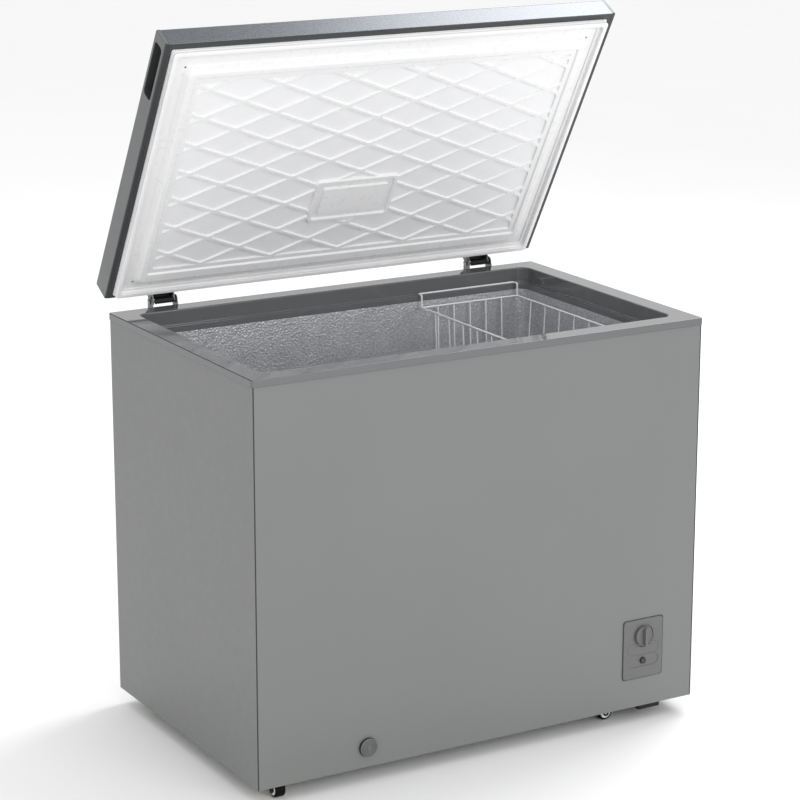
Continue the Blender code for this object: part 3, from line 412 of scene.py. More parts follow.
LOOKS = {
    "painted_steel": painted("painted_steel_sheet", (0.172, 0.178, 0.174), 0.45),
    "lid_steel": speckled("speckled_lid_steel", (0.130, 0.138, 0.152), 0.30),
    "rim_plastic": moulded("grey_rim_plastic", (0.118, 0.120, 0.124), 0.07, 700, 0.00001, 0.02, 0.7),
    "dark_plastic": moulded("dark_trim_plastic", (0.040, 0.042, 0.044), 0.42),
    "black_plastic": moulded("black_moulded_plastic", (0.006, 0.006, 0.006), 0.45, specular=0.25),
    "black_steel": moulded("black_enamelled_steel", (0.005, 0.005, 0.005), 0.40, specular=0.3),
    "white_liner": thermoformed("white_sheet_plastic", (0.83, 0.83, 0.835), 0.30, 0.00004),
    "white_nylon": moulded("white_nylon", (0.80, 0.80, 0.80), 0.40),
    "gasket_vinyl": moulded("white_gasket_vinyl", (0.84, 0.84, 0.845), 0.45, 1200),
    "foam": foamed("yellow_foam", (0.75, 0.66, 0.40), 0.90),
    "embossed_aluminium": stucco("stucco_aluminium", (0.62, 0.63, 0.65), 0.34),
    "zinc_steel": plated("zinc_plated_steel", (0.50, 0.51, 0.52), 0.36),
    "chrome": plated("bright_chrome", (0.86, 0.87, 0.88), 0.14),
    "coated_wire": moulded("silver_coated_wire", (0.72, 0.73, 0.74), 0.25),
    "copper": plated("copper_pipe", (0.62, 0.30, 0.17), 0.32),
    "panel_plastic": moulded("grey_panel_plastic", (0.125, 0.125, 0.125), 0.40),
    "rubber": rubbery("black_rubber", (0.003, 0.003, 0.003), 0.75),
    "cell_grain": thermoformed("grained_white_plastic", (0.86, 0.86, 0.87), 0.45, 0.00025),
    "cap_plastic": moulded("grey_cap_plastic", (0.112, 0.116, 0.118), 0.34, 900, 0.00003),
    # Painted shade: near-black plastic for the end caps' handle pockets and the floors of the lid's vent holes.
    "pocket_painted_shade": moulded("painted_pocket_shade_plastic", (0.050, 0.052, 0.053), 0.45),
    "hinge_steel": plated("dull_hinge_steel", (0.135, 0.137, 0.14), 0.34),
    "spring_steel": plated("dark_spring_steel", (0.20, 0.20, 0.205), 0.22),
    # Near-black plastic: the lamp's real black ring, and painted shade in the corner gaps, the panel gap, the
    # rim's dimple, along the rim's left edge and on the drain cap's side.
    "painted_shade_and_black_ring": moulded("black_ring_and_painted_shade_plastic", (0.020, 0.021, 0.021), 0.60),
    "green_lens": lens("dark_green_lens", (0.012, 0.034, 0.015), 0.30),
}


def dress_nodes():
    """Gives every carried-over CAD node the finished material of its slot."""
    for node, obj in frame["nodes"].items():
        obj.data.materials.clear()
        obj.data.materials.append(LOOKS[SLOT_OF[node]])


def shade_pocket(cap):
    """Paints an end cap's handle pocket dark as painted shade, and its lowest strip dark as painted shade on the
    lower edge together with the dark trim's edge.
    """
    cap.data.materials.append(LOOKS["pocket_painted_shade"])
    cap.data.materials.append(LOOKS["dark_plastic"])
    outer = max(abs(vertex.co.x) for vertex in cap.data.vertices)
    back = OPEN_LID.inverted()
    low, high = shut_box("lid_end_cap_left")
    margin = 0.004
    for face in cap.data.polygons:
        at = back @ face.center
        inside = low.y + margin < at.y < low.y + POCKET_REACH and low.z + margin < at.z < high.z - margin
        # Painted shade: the faces inside the handle pocket are dark.
        if inside and abs(at.x) < outer - 0.0006:
            face.material_index = 1
        # Painted shade on the cap's lowest strip, together with the edge of the dark trim.
        if at.z < low.z + CAP_SHADE:
            face.material_index = 2


def smooth_copy(node, width=0.0004, segments=2, look=None):
    """A welded copy of a CAD node with clean flat faces, smooth curves and softened edges."""
    bm = bmesh.new()
    bm.from_mesh(frame["nodes"][node].data)
    bmesh.ops.remove_doubles(bm, verts=bm.verts, dist=0.000002)
    bmesh.ops.dissolve_limit(bm, angle_limit=math.radians(0.4), verts=bm.verts, edges=bm.edges)
    # The end caps are cut along the top of their painted shade strip.
    if node.startswith("lid_end_cap"):
        level = OPEN_LID @ (shut_box(node)[0] + Vector((0.0, 0.0, CAP_SHADE)))
        bmesh.ops.bisect_plane(bm, geom=bm.verts[:] + bm.edges[:] + bm.faces[:], plane_co=level,
                               plane_no=OPEN_LID.to_3x3() @ Vector((0.0, 0.0, 1.0)))
    obj = link(f"{node}_shell", bm, look or LOOKS[SLOT_OF[node]], 32)
    if node.startswith("lid_end_cap"):
        shade_pocket(obj)
    if width:
        soften(obj, width, segments, 32)
    return place(obj, SLOT_OF[node], node)


# ---------------------------------------------------------------- lid

def clip(points, nx, ny, limit):
    """The part of a convex outline where nx*x + ny*y is at most limit."""
    kept = []
    for i, (x0, y0) in enumerate(points):
        x1, y1 = points[(i + 1) % len(points)]
        d0 = nx * x0 + ny * y0 - limit
        d1 = nx * x1 + ny * y1 - limit
        if d0 <= 0:
            kept.append((x0, y0))
        if d0 * d1 < 0:
            t = d0 / (d0 - d1)
            kept.append((x0 + (x1 - x0) * t, y0 + (y1 - y0) * t))
    return kept


def eased(points, radius, steps=3):
    """A closed outline with its corners rounded, each by at most a third of its sides."""
    result = []
    for i, corner in enumerate(points):
        c = Vector(corner)
        before = Vector(points[i - 1]) - c
        after = Vector(points[(i + 1) % len(points)]) - c
        reach = min(radius, before.length / 3, after.length / 3)
        a = c + before.normalized() * reach
        b = c + after.normalized() * reach
        for k in range(steps + 1):
            t = k / steps
            result.append(tuple(a * (1 - t) ** 2 + c * 2 * t * (1 - t) + b * t ** 2))
    return result


def cell_outline(cx, cy, inset, rect):
    """One diamond of the quilt, pulled in by inset and kept inside a rectangle."""
    x0, x1, y0, y1 = rect
    points = [(x0, y0), (x1, y0), (x1, y1), (x0, y1)]
    half_w, half_h = CELL_W / 2, CELL_H / 2
    length = math.hypot(half_w, half_h)
    for sx in (-1, 1):
        for sy in (-1, 1):
            nx, ny = sx * half_h / length, sy * half_w / length
            limit = nx * cx + ny * cy + half_w * half_h / length - inset
            points = clip(points, nx, ny, limit)
    return points


def hull(points):
    """The convex solid round a set of points."""
    bm = bmesh.new()
    for point in points:
        bm.verts.new(point)
    bmesh.ops.convex_hull(bm, input=bm.verts)
    return bm


def make_lid_panel():
    """The white inner panel of the lid: flange, slope, border ridge, quilted field and blank badge."""
    low, high = shut_box("lid_liner")
    cap_low, cap_high = shut_box("lid_end_cap_left")
    front, back = cap_low.y, cap_high.y
    wall = 0.002
    flange = high.z - wall
    top = low.z
    fx, fy = (high.x - low.x) / 2, (high.y - low.y) / 2
    fcy = (high.y + low.y) / 2
    foot_y = (back - front - PLATEAU_FRONT - PLATEAU_BACK) / 2
    foot_c = (front + PLATEAU_FRONT + back - PLATEAU_BACK) / 2
    drop = flange - top
    bend = 0.0022
    stations = [(fx, fy, 0.004, high.z, 0.0, fcy), (fx, fy, 0.004, flange, 0.0, fcy)]
    profile = [(-0.0020, 0.0), (-0.0006, 0.0003), (0.0006, 0.0012), (SLOPE_RUN - 0.0012, drop - 0.0016),
               (SLOPE_RUN, drop - 0.0006), (SLOPE_RUN + bend, drop)]
    for run, down in profile:
        stations.append((PLATEAU_X - run, foot_y - run, SLOPE_R, flange - down, 0.0, foot_c))
    panel = link("lid_inner_panel", loft(stations), LOOKS["white_liner"])

    field = top + FIELD_DEPTH
    floor = field + CELL_DEPTH
    field_y = (FIELD_FRONT - FIELD_BACK) / 2
    field_c = back - (FIELD_FRONT + FIELD_BACK) / 2
    ramp = 0.0022
    cut(panel, loft([(FIELD_X + ramp, field_y + ramp, 0.006, top - 0.001, 0.0, field_c),
                     (FIELD_X + 0.0004, field_y + 0.0004, 0.005, top + 0.0004, 0.0, field_c),
                     (FIELD_X - ramp, field_y - ramp, 0.004, field, 0.0, field_c)]))

    rect = (-CELLS_X, CELLS_X, back - CELLS_FRONT, back - CELLS_BACK)
    lower = (rect[0] + RIB_RUN, rect[1] - RIB_RUN, rect[2] + RIB_RUN, rect[3] - RIB_RUN)
    pockets = []
    columns = int(CELLS_X / (CELL_W / 2)) + 2
    rows = int((CELLS_FRONT - CELLS_BACK) / (CELL_H / 2)) + 2
    for i in range(-columns, columns + 1):
        for j in range(-1, rows + 1):
            if (i + j) % 2 == 0:
                continue
            cx = i * CELL_W / 2
            cy = rect[3] - j * CELL_H / 2
            mouth = cell_outline(cx, cy, RIB_HALF, rect)
            base = cell_outline(cx, cy, RIB_HALF + RIB_RUN, lower)
            if len(mouth) < 3 or len(base) < 3:
                continue
            points = [(x, y, field - 0.0005) for x, y in eased(mouth, CELL_CORNER)]
            points += [(x, y, floor) for x, y in eased(base, CELL_CORNER)]
            pockets.append(hull(points))
    cut(panel, merge(pockets))

    badge_c = back - BADGE_BACK
    crest = field - 0.0024
    cut(panel, loft([(BADGE_HX, BADGE_HY, 0.010, floor + 0.001, 0.0, badge_c),
                     (BADGE_HX - 0.0010, BADGE_HY - 0.0010, 0.009, field, 0.0, badge_c),
                     (BADGE_HX - 0.0024, BADGE_HY - 0.0024, 0.008, crest, 0.0, badge_c)]), "UNION")
    outer_x, outer_y = BADGE_HX - BADGE_RIM, BADGE_HY - BADGE_RIM
    inner_x, inner_y = outer_x - BADGE_BAND, outer_y - BADGE_BAND
    band = crest + 0.0042
    cut(panel, loft([(outer_x, outer_y, 0.006, crest - 0.001, 0.0, badge_c),
                     (outer_x - 0.0022, outer_y - 0.0022, 0.005, band, 0.0, badge_c),
                     (inner_x + 0.0022, inner_y + 0.0022, 0.004, band, 0.0, badge_c),
                     (inner_x, inner_y, 0.003, crest - 0.001, 0.0, badge_c)], closed=True))
    vents = []
    depths = []
    for sx in (-1, 1):
        for y in (front + PLATEAU_FRONT + VENT_IN, back - PLATEAU_BACK - VENT_IN):
            spot = (sx * (PLATEAU_X - VENT_IN), y, flange)
            vents.append(turned([(0.0021, 0.0012), (0.0021, 0.0), (0.0027, -0.0020)], spot, steps=20))
            depths.append(turned([(0.0020, 0.0012), (0.0020, 0.0004)], spot, steps=20))
    cut(panel, merge(vents))
    # Painted shade: dark discs inside the lid's vent holes.
    hollows = link("lid_vent_hole_shade", merge(depths), LOOKS["pocket_painted_shade"])
    place(hollows, "white_liner", body="lid", shut_lid=True)
    panel.data.materials.append(LOOKS["cell_grain"])
    for face in panel.data.polygons:
        if abs(face.center.z - floor) < 0.0001:
            face.material_index = 1
    soften(panel, 0.0004, 2, 25)
    place(panel, "white_liner", "lid_liner", shut_lid=True)


def make_gasket():
    """The door seal: a magnetic bead on a bellows, with a flat tail over the panel's flange."""
    low, high = shut_box("lid_gasket")
    hx, hy = (high.x - low.x) / 2, (high.y - low.y) / 2
    cy = (high.y + low.y) / 2
    tall = high.z - low.z
    profile = [(0.0000, 0.0000), (0.0000, 0.0028), (0.0014, 0.0044), (0.0003, 0.0060),
               (0.0001, tall - 0.0022), (0.0006, tall - 0.0008), (0.0020, tall),
               (0.0074, tall), (0.0088, tall - 0.0008),
               (0.0093, tall - 0.0022), (0.0091, 0.0060), (0.0080, 0.0046), (0.0094, 0.0030),
               (0.0102, 0.0022), (0.0110, 0.0026), (0.0152, 0.0026), (0.0160, 0.0018), (0.0160, 0.0000)]
    stations = [(hx - run, hy - run, 0.006, high.z - down, 0.0, cy) for run, down in profile]
    seal = link("lid_seal", loft(stations, closed=True, steps=4), LOOKS["gasket_vinyl"], 40)
    place(seal, "gasket_vinyl", "lid_gasket", shut_lid=True)


def make_lid_skin():
    """The folded steel skin of the lid, with rounded long edges and a hem along its bottom edges."""
    low, high = shut_box("lid_skin")
    t = 0.0008
    r = 0.0035
    y0, y1, z0, z1 = low.y, high.y, low.z, high.z
    outside = [(y0 + 0.0006, z0)] + [(y0, z0 + 0.0006)]
    outside += arc(y0 + r, z1 - r, r, 180, 90) + arc(y1 - r, z1 - r, r, 90, 0)
    outside += [(y1, z0 + 0.0006), (y1 - 0.0006, z0)]
    inside = [(y1 - 2 * t, z0), (y1 - 2 * t, z0 + 0.006), (y1 - t, z0 + 0.0064)]
    inside += arc(y1 - r, z1 - r, r - t, 0, 90) + arc(y0 + r, z1 - r, r - t, 90, 180)
    inside += [(y0 + t, z0 + 0.0064), (y0 + 2 * t, z0 + 0.006), (y0 + 2 * t, z0)]
    cover = link("lid_outer_skin", prism(outside + inside, "X", low.x, high.x), LOOKS["lid_steel"], 30)
    place(cover, "lid_steel", "lid_skin", shut_lid=True)


# ---------------------------------------------------------------- cabinet

def make_rim():
    """The glossy frame round the mouth, with eased edges, a ledge and a breaker strip below it."""
    low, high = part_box("top_frame")
    hx, hy = (high.x - low.x) / 2, (high.y - low.y) / 2
    cy = (high.y + low.y) / 2
    liner_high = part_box("liner_front_wall")[1]
    back_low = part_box("liner_back_wall")[0]
    inner_x = liner_high.x - 0.0010
    inner_y = (back_low.y - liner_high.y) / 2
    ledge = 0.0095
    open_x, open_y = inner_x + ledge, inner_y + ledge
    top = high.z
    lip = 0.0137
    t = 0.002
    stations = [(hx - 0.0006, hy - 0.0006, 0.0045, top - lip), (hx, hy, 0.005, top - lip + 0.0006)]
    for k in range(5):
        a = math.radians(90 * k / 4)
        ease = 0.0014
        stations.append((hx - ease + ease * math.cos(a), hy - ease + ease * math.cos(a), 0.005,
                         top - ease + ease * math.sin(a)))
    for k in range(6):
        a = math.radians(90 * k / 5)
        ease = 0.0024
        stations.append((open_x + ease - ease * math.sin(a), open_y + ease - ease * math.sin(a), 0.021,
                         top - ease + ease * math.cos(a)))
    shelf = top - 0.030
    corner = 0.020
    back_corner = corner + t
    under = top - t - 0.0008
    stations += [(open_x, open_y, corner, shelf + 0.0012),
                 (open_x - 0.0004, open_y - 0.0004, corner, shelf + 0.0004),
                 (open_x - 0.0012, open_y - 0.0012, corner, shelf),
                 (inner_x + 0.0012, inner_y + 0.0012, corner, shelf),
                 (inner_x + 0.0003, inner_y + 0.0003, corner, shelf - 0.0004),
                 (inner_x, inner_y, corner, shelf - 0.0014),
                 (inner_x, inner_y, corner, low.z),
                 (inner_x + t, inner_y + t, back_corner, low.z),
                 (inner_x + t, inner_y + t, back_corner, shelf - t),
                 (open_x + t, open_y + t, back_corner, shelf - t),
                 (open_x + t, open_y + t, back_corner, under),
                 (hx - t, hy - t, 0.0004, under),
                 (hx - t, hy - t, 0.0004, top - lip)]
    stations = [(a, b, r, z, 0.0, cy) for a, b, r, z in stations]
    rim = link("mouth_frame", loft(stations, closed=True, steps=10), LOOKS["rim_plastic"], 40)
    spot = (DIMPLE_X, low.y + DIMPLE_IN, top)
    cut(rim, turned([(0.0024, -0.0010), (0.0032, 0.0004), (0.0036, 0.004)], spot, steps=24))
    # Painted shade: a dark strip along the rim's left outer top edge, which falls into shade there.
    rim.data.materials.append(LOOKS["painted_shade_and_black_ring"])
    shade_edge_x = hx - 0.0012
    for face in rim.data.polygons:
        if face.center.x < -shade_edge_x and top - 0.0014 < face.center.z < top - 0.0001:
            face.material_index = 1
    place(rim, "rim_plastic", "top_frame")
    # Painted shade: a dark disc on the dimple's floor stands for the dark of the hollow.
    disc = turned([(0.0023, -0.0010), (0.0023, -0.0006)], spot, steps=24)
    place(link("rim_dimple_shade_disc", disc, LOOKS["painted_shade_and_black_ring"]), "rim_plastic", body="cabinet")


def make_gap_shade():
    """Painted shade: dark strips in the gaps at the front corners, and a dark ring as the shadow gap round the
    control panel.
    """
    low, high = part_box("front_panel")
    outer, inner = -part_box("left_side_panel")[0].x - 0.0002, -low.x - 0.0007
    y0, y1 = low.y - 0.0001, low.y + 0.0004
    strips = []
    # Painted shade in the corner gaps between the front and side panels.
    for sign in (-1, 1):
        a, b = sorted((sign * outer, sign * inner))
        strips.append(prism([(a, y0), (b, y0), (b, y1), (a, y1)], "Z", low.z + 0.0005, high.z - 0.001))
    place(link("corner_gap_shade", merge(strips), LOOKS["painted_shade_and_black_ring"]), "dark_plastic", body="cabinet")
    low_p, high_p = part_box("control_panel")
    cx, cz = (low_p.x + high_p.x) / 2, (low_p.z + high_p.z) / 2
    hx, hz = (high_p.x - low_p.x) / 2, (high_p.z - low_p.z) / 2
    face = low.y - 0.0002
    wide = 0.0009
    right, below = 0.0016, 0.0008
    outer = (hx + wide + right / 2, hz + wide + below / 2, 0.0065)
    inner = (hx + 0.0001, hz + 0.0001, 0.0060)
    aside = (cx + right / 2, cz - below / 2)
    rings = [(*outer, face, *aside), (*outer, face + 0.0006, *aside),
             (*inner, face + 0.0006, cx, cz), (*inner, face, cx, cz)]
    # Painted shadow: a dark ring in the gap round the control panel.
    gap = link("panel_gap", loft(rings, "Y", closed=True), LOOKS["painted_shade_and_black_ring"])
    place(gap, "dark_plastic", body="cabinet")


def make_liner():
    """The embossed liner as one folded tub with rounded corners and a step over the compressor."""
    front_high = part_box("liner_front_wall")[1]
    back_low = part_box("liner_back_wall")[0]
    floor_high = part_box("liner_floor")[1]
    step_low, step_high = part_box("liner_step")
    x = front_high.x - 0.0010
    y0, y1 = front_high.y, back_low.y
    top = front_high.z
    outline = [(-x, top), (-x, floor_high.z), (step_low.x, floor_high.z), (step_low.x, step_high.z),
               (x, step_high.z), (x, top)]
    bm = prism(outline, "Y", y0, y1)

    def upright(edge):
        a, b = edge.verts
        return abs(a.co.z - b.co.z) > 0.01 and abs(a.co.x - b.co.x) < 1e-6 and abs(a.co.y - b.co.y) < 1e-6

    outer = [e for e in bm.edges if upright(e) and abs(abs(e.verts[0].co.x) - x) < 1e-5]
    bmesh.ops.bevel(bm, geom=outer, offset=0.022, segments=10, profile=0.5, affect="EDGES")
    folds = [e for e in bm.edges
             if len(e.link_faces) == 2 and e.calc_face_angle(0.0) > math.radians(40)
             and not all(abs(v.co.z - top) < 1e-5 for v in e.verts)]
    bmesh.ops.bevel(bm, geom=folds, offset=0.007, segments=4, profile=0.5, affect="EDGES")
    lid_faces = [f for f in bm.faces if all(abs(v.co.z - top) < 1e-5 for v in f.verts)]
    bmesh.ops.delete(bm, geom=lid_faces, context="FACES_ONLY")
    tub = link("stucco_tub", bm, LOOKS["embossed_aluminium"], 50)
    wall = tub.modifiers.new("wall", "SOLIDIFY")
    wall.thickness = 0.0008
    wall.offset = 1.0
    bpy.context.view_layer.update()
    apply_modifiers(tub)
    plug_low, plug_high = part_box("drain_plug")
    drain = ((plug_low.x + plug_high.x) / 2, (plug_low.y + plug_high.y) / 2, floor_high.z)
    cut(tub, turned([(0.0095, -0.01), (0.0095, 0.01)], drain, steps=32))
    place(tub, "embossed_aluminium", "liner_front_wall", "liner_back_wall", "liner_left_wall",
          "liner_right_wall", "liner_floor", "liner_step")


# ---------------------------------------------------------------- basket

def bent(points, radius, steps=5):
    """A route of straight runs with each inner corner rounded."""
    route = [Vector(p) for p in points]
    path = [route[0]]
    for before, corner, after in zip(route, route[1:], route[2:]):
        a = corner + (before - corner).normalized() * radius
        b = corner + (after - corner).normalized() * radius
        path += [a * (1 - k / steps) ** 2 + corner * 2 * (k / steps) * (1 - k / steps) + b * (k / steps) ** 2
                 for k in range(steps + 1)]
    path.append(route[-1])
    return path


def wires(name, routes, radius, look, closed=()):
    """Round wires along routes, as one curve piece."""
    curve = bpy.data.curves.new(name, "CURVE")
    curve.dimensions = "3D"
    curve.bevel_depth = radius
    curve.bevel_resolution = 3
    curve.use_fill_caps = True
    for number, route in enumerate(routes):
        spline = curve.splines.new("POLY")
        spline.points.add(len(route) - 1)
        for slot, point in zip(spline.points, route):
            slot.co = (*point, 1.0)
        spline.use_cyclic_u = number in closed
        spline.use_smooth = True
    curve.materials.append(look)
    obj = bpy.data.objects.new(name, curve)
    bpy.context.scene.collection.objects.link(obj)
    return obj


def make_basket():
    """The hanging basket: U-shaped wires both ways, a rim wire, a low ring and a hanger at each end."""
    left_low, left_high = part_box("basket_left")
    right_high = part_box("basket_right")[1]
    floor_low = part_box("basket_floor")[0]
    front_low, front_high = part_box("basket_front")
    back_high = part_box("basket_back")[1]
    thin, thick = 0.0016, 0.0020
    x0, x1 = left_low.x + thick, right_high.x - thick
    y0, y1 = left_low.y, left_high.y
    rim = left_high.z - thick
    low = floor_low.z + thin
    taper = 0.010
    cy = (y0 + y1) / 2
    short_gaps, long_gaps = 6, 9
    routes = []
    for k in range(1, short_gaps):
        x = x0 + (x1 - x0) * k / short_gaps
        routes.append(bent([(x, y0, rim), (x, y0 + taper, low), (x, y1 - taper, low), (x, y1, rim)], 0.012))
    over = low + 2 * thin - 0.0003
    for k in range(1, long_gaps):
        y = y0 + (y1 - y0) * k / long_gaps
        routes.append(bent([(x0, y, rim), (x0 + taper, y, over), (x1 - taper, y, over), (x1, y, rim)], 0.012))
    place(wires("basket_wires", routes, thin, LOOKS["coated_wire"]), "coated_wire",
          "basket_left", "basket_right", "basket_floor", "basket_front", "basket_back")

    hoop = [(u, v, rim) for u, v in corner_points((x1 - x0) / 2, (y1 - y0) / 2, 0.006, (x0 + x1) / 2, cy, 5)]
    lower = low + 0.006
    inset = taper * 0.97
    ring = [(u, v, lower) for u, v in
            corner_points((x1 - x0) / 2 - inset, (y1 - y0) / 2 - inset, 0.010, (x0 + x1) / 2, cy, 5)]
    bars = [hoop, ring]
    hang = front_high.z - thin
    for edge, outer in ((y0, front_low.y + thin), (y1, back_high.y - thin)):
        route = [(x0, edge, rim), (x0, edge, hang), (x0, outer, hang),
                 (x1, outer, hang), (x1, edge, hang), (x1, edge, rim)]
        bars.append(bent(route, 0.004))
    place(wires("basket_rim_and_hangers", bars, thick - 0.0001, LOOKS["coated_wire"], closed=(0, 1)),
          "coated_wire", body="basket")


# ---------------------------------------------------------------- fittings

def middle(node):
    """The centre of a CAD node's box."""
    low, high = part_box(node)
    return (low + high) / 2


def make_knob():
    """The temperature knob: a disc with a rounded edge and an upright grip."""
    low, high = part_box("thermostat_knob")
    c = (low + high) / 2
    r = (high.x - low.x) / 2
    front = low.y
    face = front + 0.0075
    centre = (c.x, 0.0, c.z)
    profile = [(0.0030, high.y), (0.0030, face + 0.0072), (r - 0.0006, face + 0.0072), (r, face + 0.0064),
               (r, face + 0.0020), (r - 0.0006, face + 0.0008), (r - 0.0020, face), (r - 0.0030, face),
               (r - 0.0036, face + 0.0006), (0.0020, face + 0.0006)]
    knob = link("temperature_knob", turned(profile, centre, "Y", 64), LOOKS["panel_plastic"], 40)
    grip = [(0.0036, r - 0.0010, 0.0030, face + 0.0030), (0.0033, r - 0.0012, 0.0030, front + 0.0012),
            (0.0026, r - 0.0019, 0.0022, front + 0.0002), (0.0020, r - 0.0025, 0.0018, front)]
    cut(knob, loft([(*station, c.x, c.z) for station in grip], "Y"), "UNION")
    soften(knob, 0.0003, 2, 35)
    place(knob, "panel_plastic", "thermostat_knob")
    line = [(0.0005, 0.0042, 0.0004, y, c.x, c.z + r - 0.0080) for y in (front + 0.0001, front + 0.0004)]
    place(link("knob_pointer", loft(line, "Y", steps=3), LOOKS["white_nylon"]), "white_nylon", body="knob")


def make_panel_marks():
    """Plain raised ticks round the knob's recess."""
    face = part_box("control_panel")[0].y - 0.0001
    knob = middle("thermostat_knob")
    ticks = []
    count = 9
    for k in range(count):
        a = math.radians(-140 + 280 * k / (count - 1))
        r = 0.0268
        x, z = knob.x + r * math.sin(a), knob.z + r * math.cos(a)
        bm = loft([(0.0004, 0.0011, 0.0003, 0.0), (0.0004, 0.0011, 0.0003, 0.0003)], "Y", steps=2)
        move = Matrix.Translation((x, face, z)) @ Matrix.Rotation(a, 4, "Y")
        bmesh.ops.transform(bm, matrix=move, verts=bm.verts)
        ticks.append(bm)
    place(link("dial_ticks", merge(ticks), LOOKS["dark_plastic"]), "dark_plastic", body="cabinet")


def make_panel_outline():
    """A fine dark line in the shape of a long pill, across the middle of the control panel."""
    low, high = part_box("control_panel")
    cx, cz = (low.x + high.x) / 2, (low.z + high.z) / 2
    face = low.y - 0.0001
    rings = [(0.0363, 0.0120, 0.0118, face, cx, cz), (0.0363, 0.0120, 0.0118, face + 0.0003, cx, cz),
             (0.0359, 0.0116, 0.0114, face + 0.0003, cx, cz), (0.0359, 0.0116, 0.0114, face, cx, cz)]
    place(link("panel_outline", loft(rings, "Y", closed=True), LOOKS["dark_plastic"]), "dark_plastic",
          body="cabinet")


def make_lamp():
    """The unlit power lamp: a domed lens in a dark ring."""
    low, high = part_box("power_lamp")
    c = (low + high) / 2
    r = (high.x - low.x) / 2
    dome = [(r, high.y), (r, low.y + 0.0019)]
    for k in range(1, 7):
        a = math.radians(90 * k / 7)
        dome.append((r * math.cos(a), low.y + 0.0019 - 0.0019 * math.sin(a)))
    place(link("power_lamp_lens", turned(dome, (c.x, 0, c.z), "Y", 40), LOOKS["green_lens"], 50),
          "green_lens", "power_lamp")
    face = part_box("control_panel")[0].y + 0.0010
    crown = low.y - 0.0002
    bezel = [(r + 0.0012, face + 0.0004), (r + 0.0012, face - 0.0004), (r + 0.0006, crown),
             (r - 0.0006, crown), (r - 0.0024, crown + 0.0003), (r - 0.0030, face - 0.0002),
             (r - 0.0030, face + 0.0004)]
    ring = turned(bezel, (c.x, 0, c.z), "Y", 40, closed=True)
    place(link("power_lamp_bezel", ring, LOOKS["painted_shade_and_black_ring"], 50), "dark_plastic", body="cabinet")


def make_drain_cap():
    """The drain's screw cap: a knurled edge, a rounded rim and shallow rings on its face; its side wall and grips
    are painted dark as shade.
    """
    low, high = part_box("drain_cap")
    c = (low + high) / 2
    r = (high.x - low.x) / 2
    f = low.y
    profile = [(0.0055, high.y), (0.0055, f + 0.0060), (r - 0.0004, f + 0.0060), (r, f + 0.0056),
               (r, f + 0.0024), (r - 0.0003, f + 0.0010), (r - 0.0010, f + 0.0002), (r - 0.0018, f)]
    for ridge in range(1, 6):
        out = r - 0.0026 * ridge - 0.0002
        profile += [(out + 0.0006, f), (out, f + 0.0009), (out - 0.0006, f + 0.0009), (out - 0.0012, f)]
    profile.append((0.0012, f + 0.0003))
    cap = link("drain_screw_cap", turned(profile, (c.x, 0, c.z), "Y", 72), LOOKS["panel_plastic"], 50)
    # Painted shade: the cap's side wall is dark, standing for the shade round the proud cap.
    cap.data.materials.append(LOOKS["painted_shade_and_black_ring"])
    for polygon in cap.data.polygons:
        if f + 0.0015 < polygon.center.y < f + 0.0070:
            polygon.material_index = 1
    place(cap, "panel_plastic", "drain_cap")
    # Painted shade: the grips are dark like the side wall they sit on.
    tooth = [(0.0001, f + 0.0024), (0.0005, f + 0.0030), (0.0005, f + 0.0054), (0.0001, f + 0.0058)]
    grips = []
    teeth = 36
    for k in range(teeth):
        a = 2 * math.pi * k / teeth
        x, z = c.x + (r - 0.0002) * math.cos(a), c.z + (r - 0.0002) * math.sin(a)
        grips.append(turned(tooth, (x, 0, z), "Y", 6))
    place(link("drain_cap_grips", merge(grips), LOOKS["painted_shade_and_black_ring"]), "panel_plastic", body="drain_cap")


def make_plug():
    """The rubber plug in the cavity's drain."""
    low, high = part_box("drain_plug")
    c = (low + high) / 2
    r = (high.x - low.x) / 2
    seat = high.z - 0.0050
    profile = [(0.0042, low.z), (0.0048, low.z + 0.001), (0.0054, seat + 0.0003), (r - 0.0004, seat + 0.0003),
               (r, seat + 0.0008), (r, seat + 0.0026), (r - 0.0008, seat + 0.0036), (0.0120, seat + 0.0044),
               (0.0070, seat + 0.0044), (0.0064, seat + 0.0050), (0.0020, seat + 0.0050)]
    place(link("inner_drain_plug", turned(profile, (c.x, c.y, 0), "Z", 48), LOOKS["rubber"], 45),
          "rubber", "drain_plug")


def make_wheel(word, axis):
    """A caster wheel: black tread, white hub ring and a cap on each side, white on the front right wheel."""
    node = f"{word}_wheel"
    low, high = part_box(node)
    c = (low + high) / 2
    r = (high.z - low.z) / 2
    along = 0 if axis == "X" else 1
    journal = (high[along] - low[along]) / 2
    half = journal - 0.0032
    centre = [c.x, c.y, c.z]
    offset = centre[along]
    centre[along] = 0.0
    body = f"{word}_wheel"

    def both(profile):
        return [(a, offset - w) for a, w in profile] + [(a, offset + w) for a, w in reversed(profile)]

    tread = [(0.0112, half - 0.0016), (0.0112, half), (r - 0.0022, half), (r - 0.0010, half - 0.0004),
             (r - 0.0003, half - 0.0014), (r, half - 0.0030)]
    hub = [(0.0062, half - 0.0004), (0.0066, half + 0.0002), (0.0104, half + 0.0002), (0.0111, half - 0.0004),
           (0.0111, half - 0.0030)]
    cap = [(0.0012, half + 0.0016), (0.0042, half + 0.0014), (0.0056, half + 0.0008), (0.0061, half),
           (0.0061, half - 0.0030)]
    place(link(f"{word}_tread", turned(both(tread), centre, axis, 56), LOOKS["rubber"], 50), "rubber", node)
    place(link(f"{word}_hub", turned(both(hub), centre, axis, 48), LOOKS["white_nylon"], 50),
          "white_nylon", body=body)
    cap_look = "white_nylon" if word == "front_right" else "black_plastic"
    cover = link(f"{word}_hub_cap", turned(both(cap), centre, axis, 40), LOOKS[cap_look], 50)
    place(cover, cap_look, body=body)


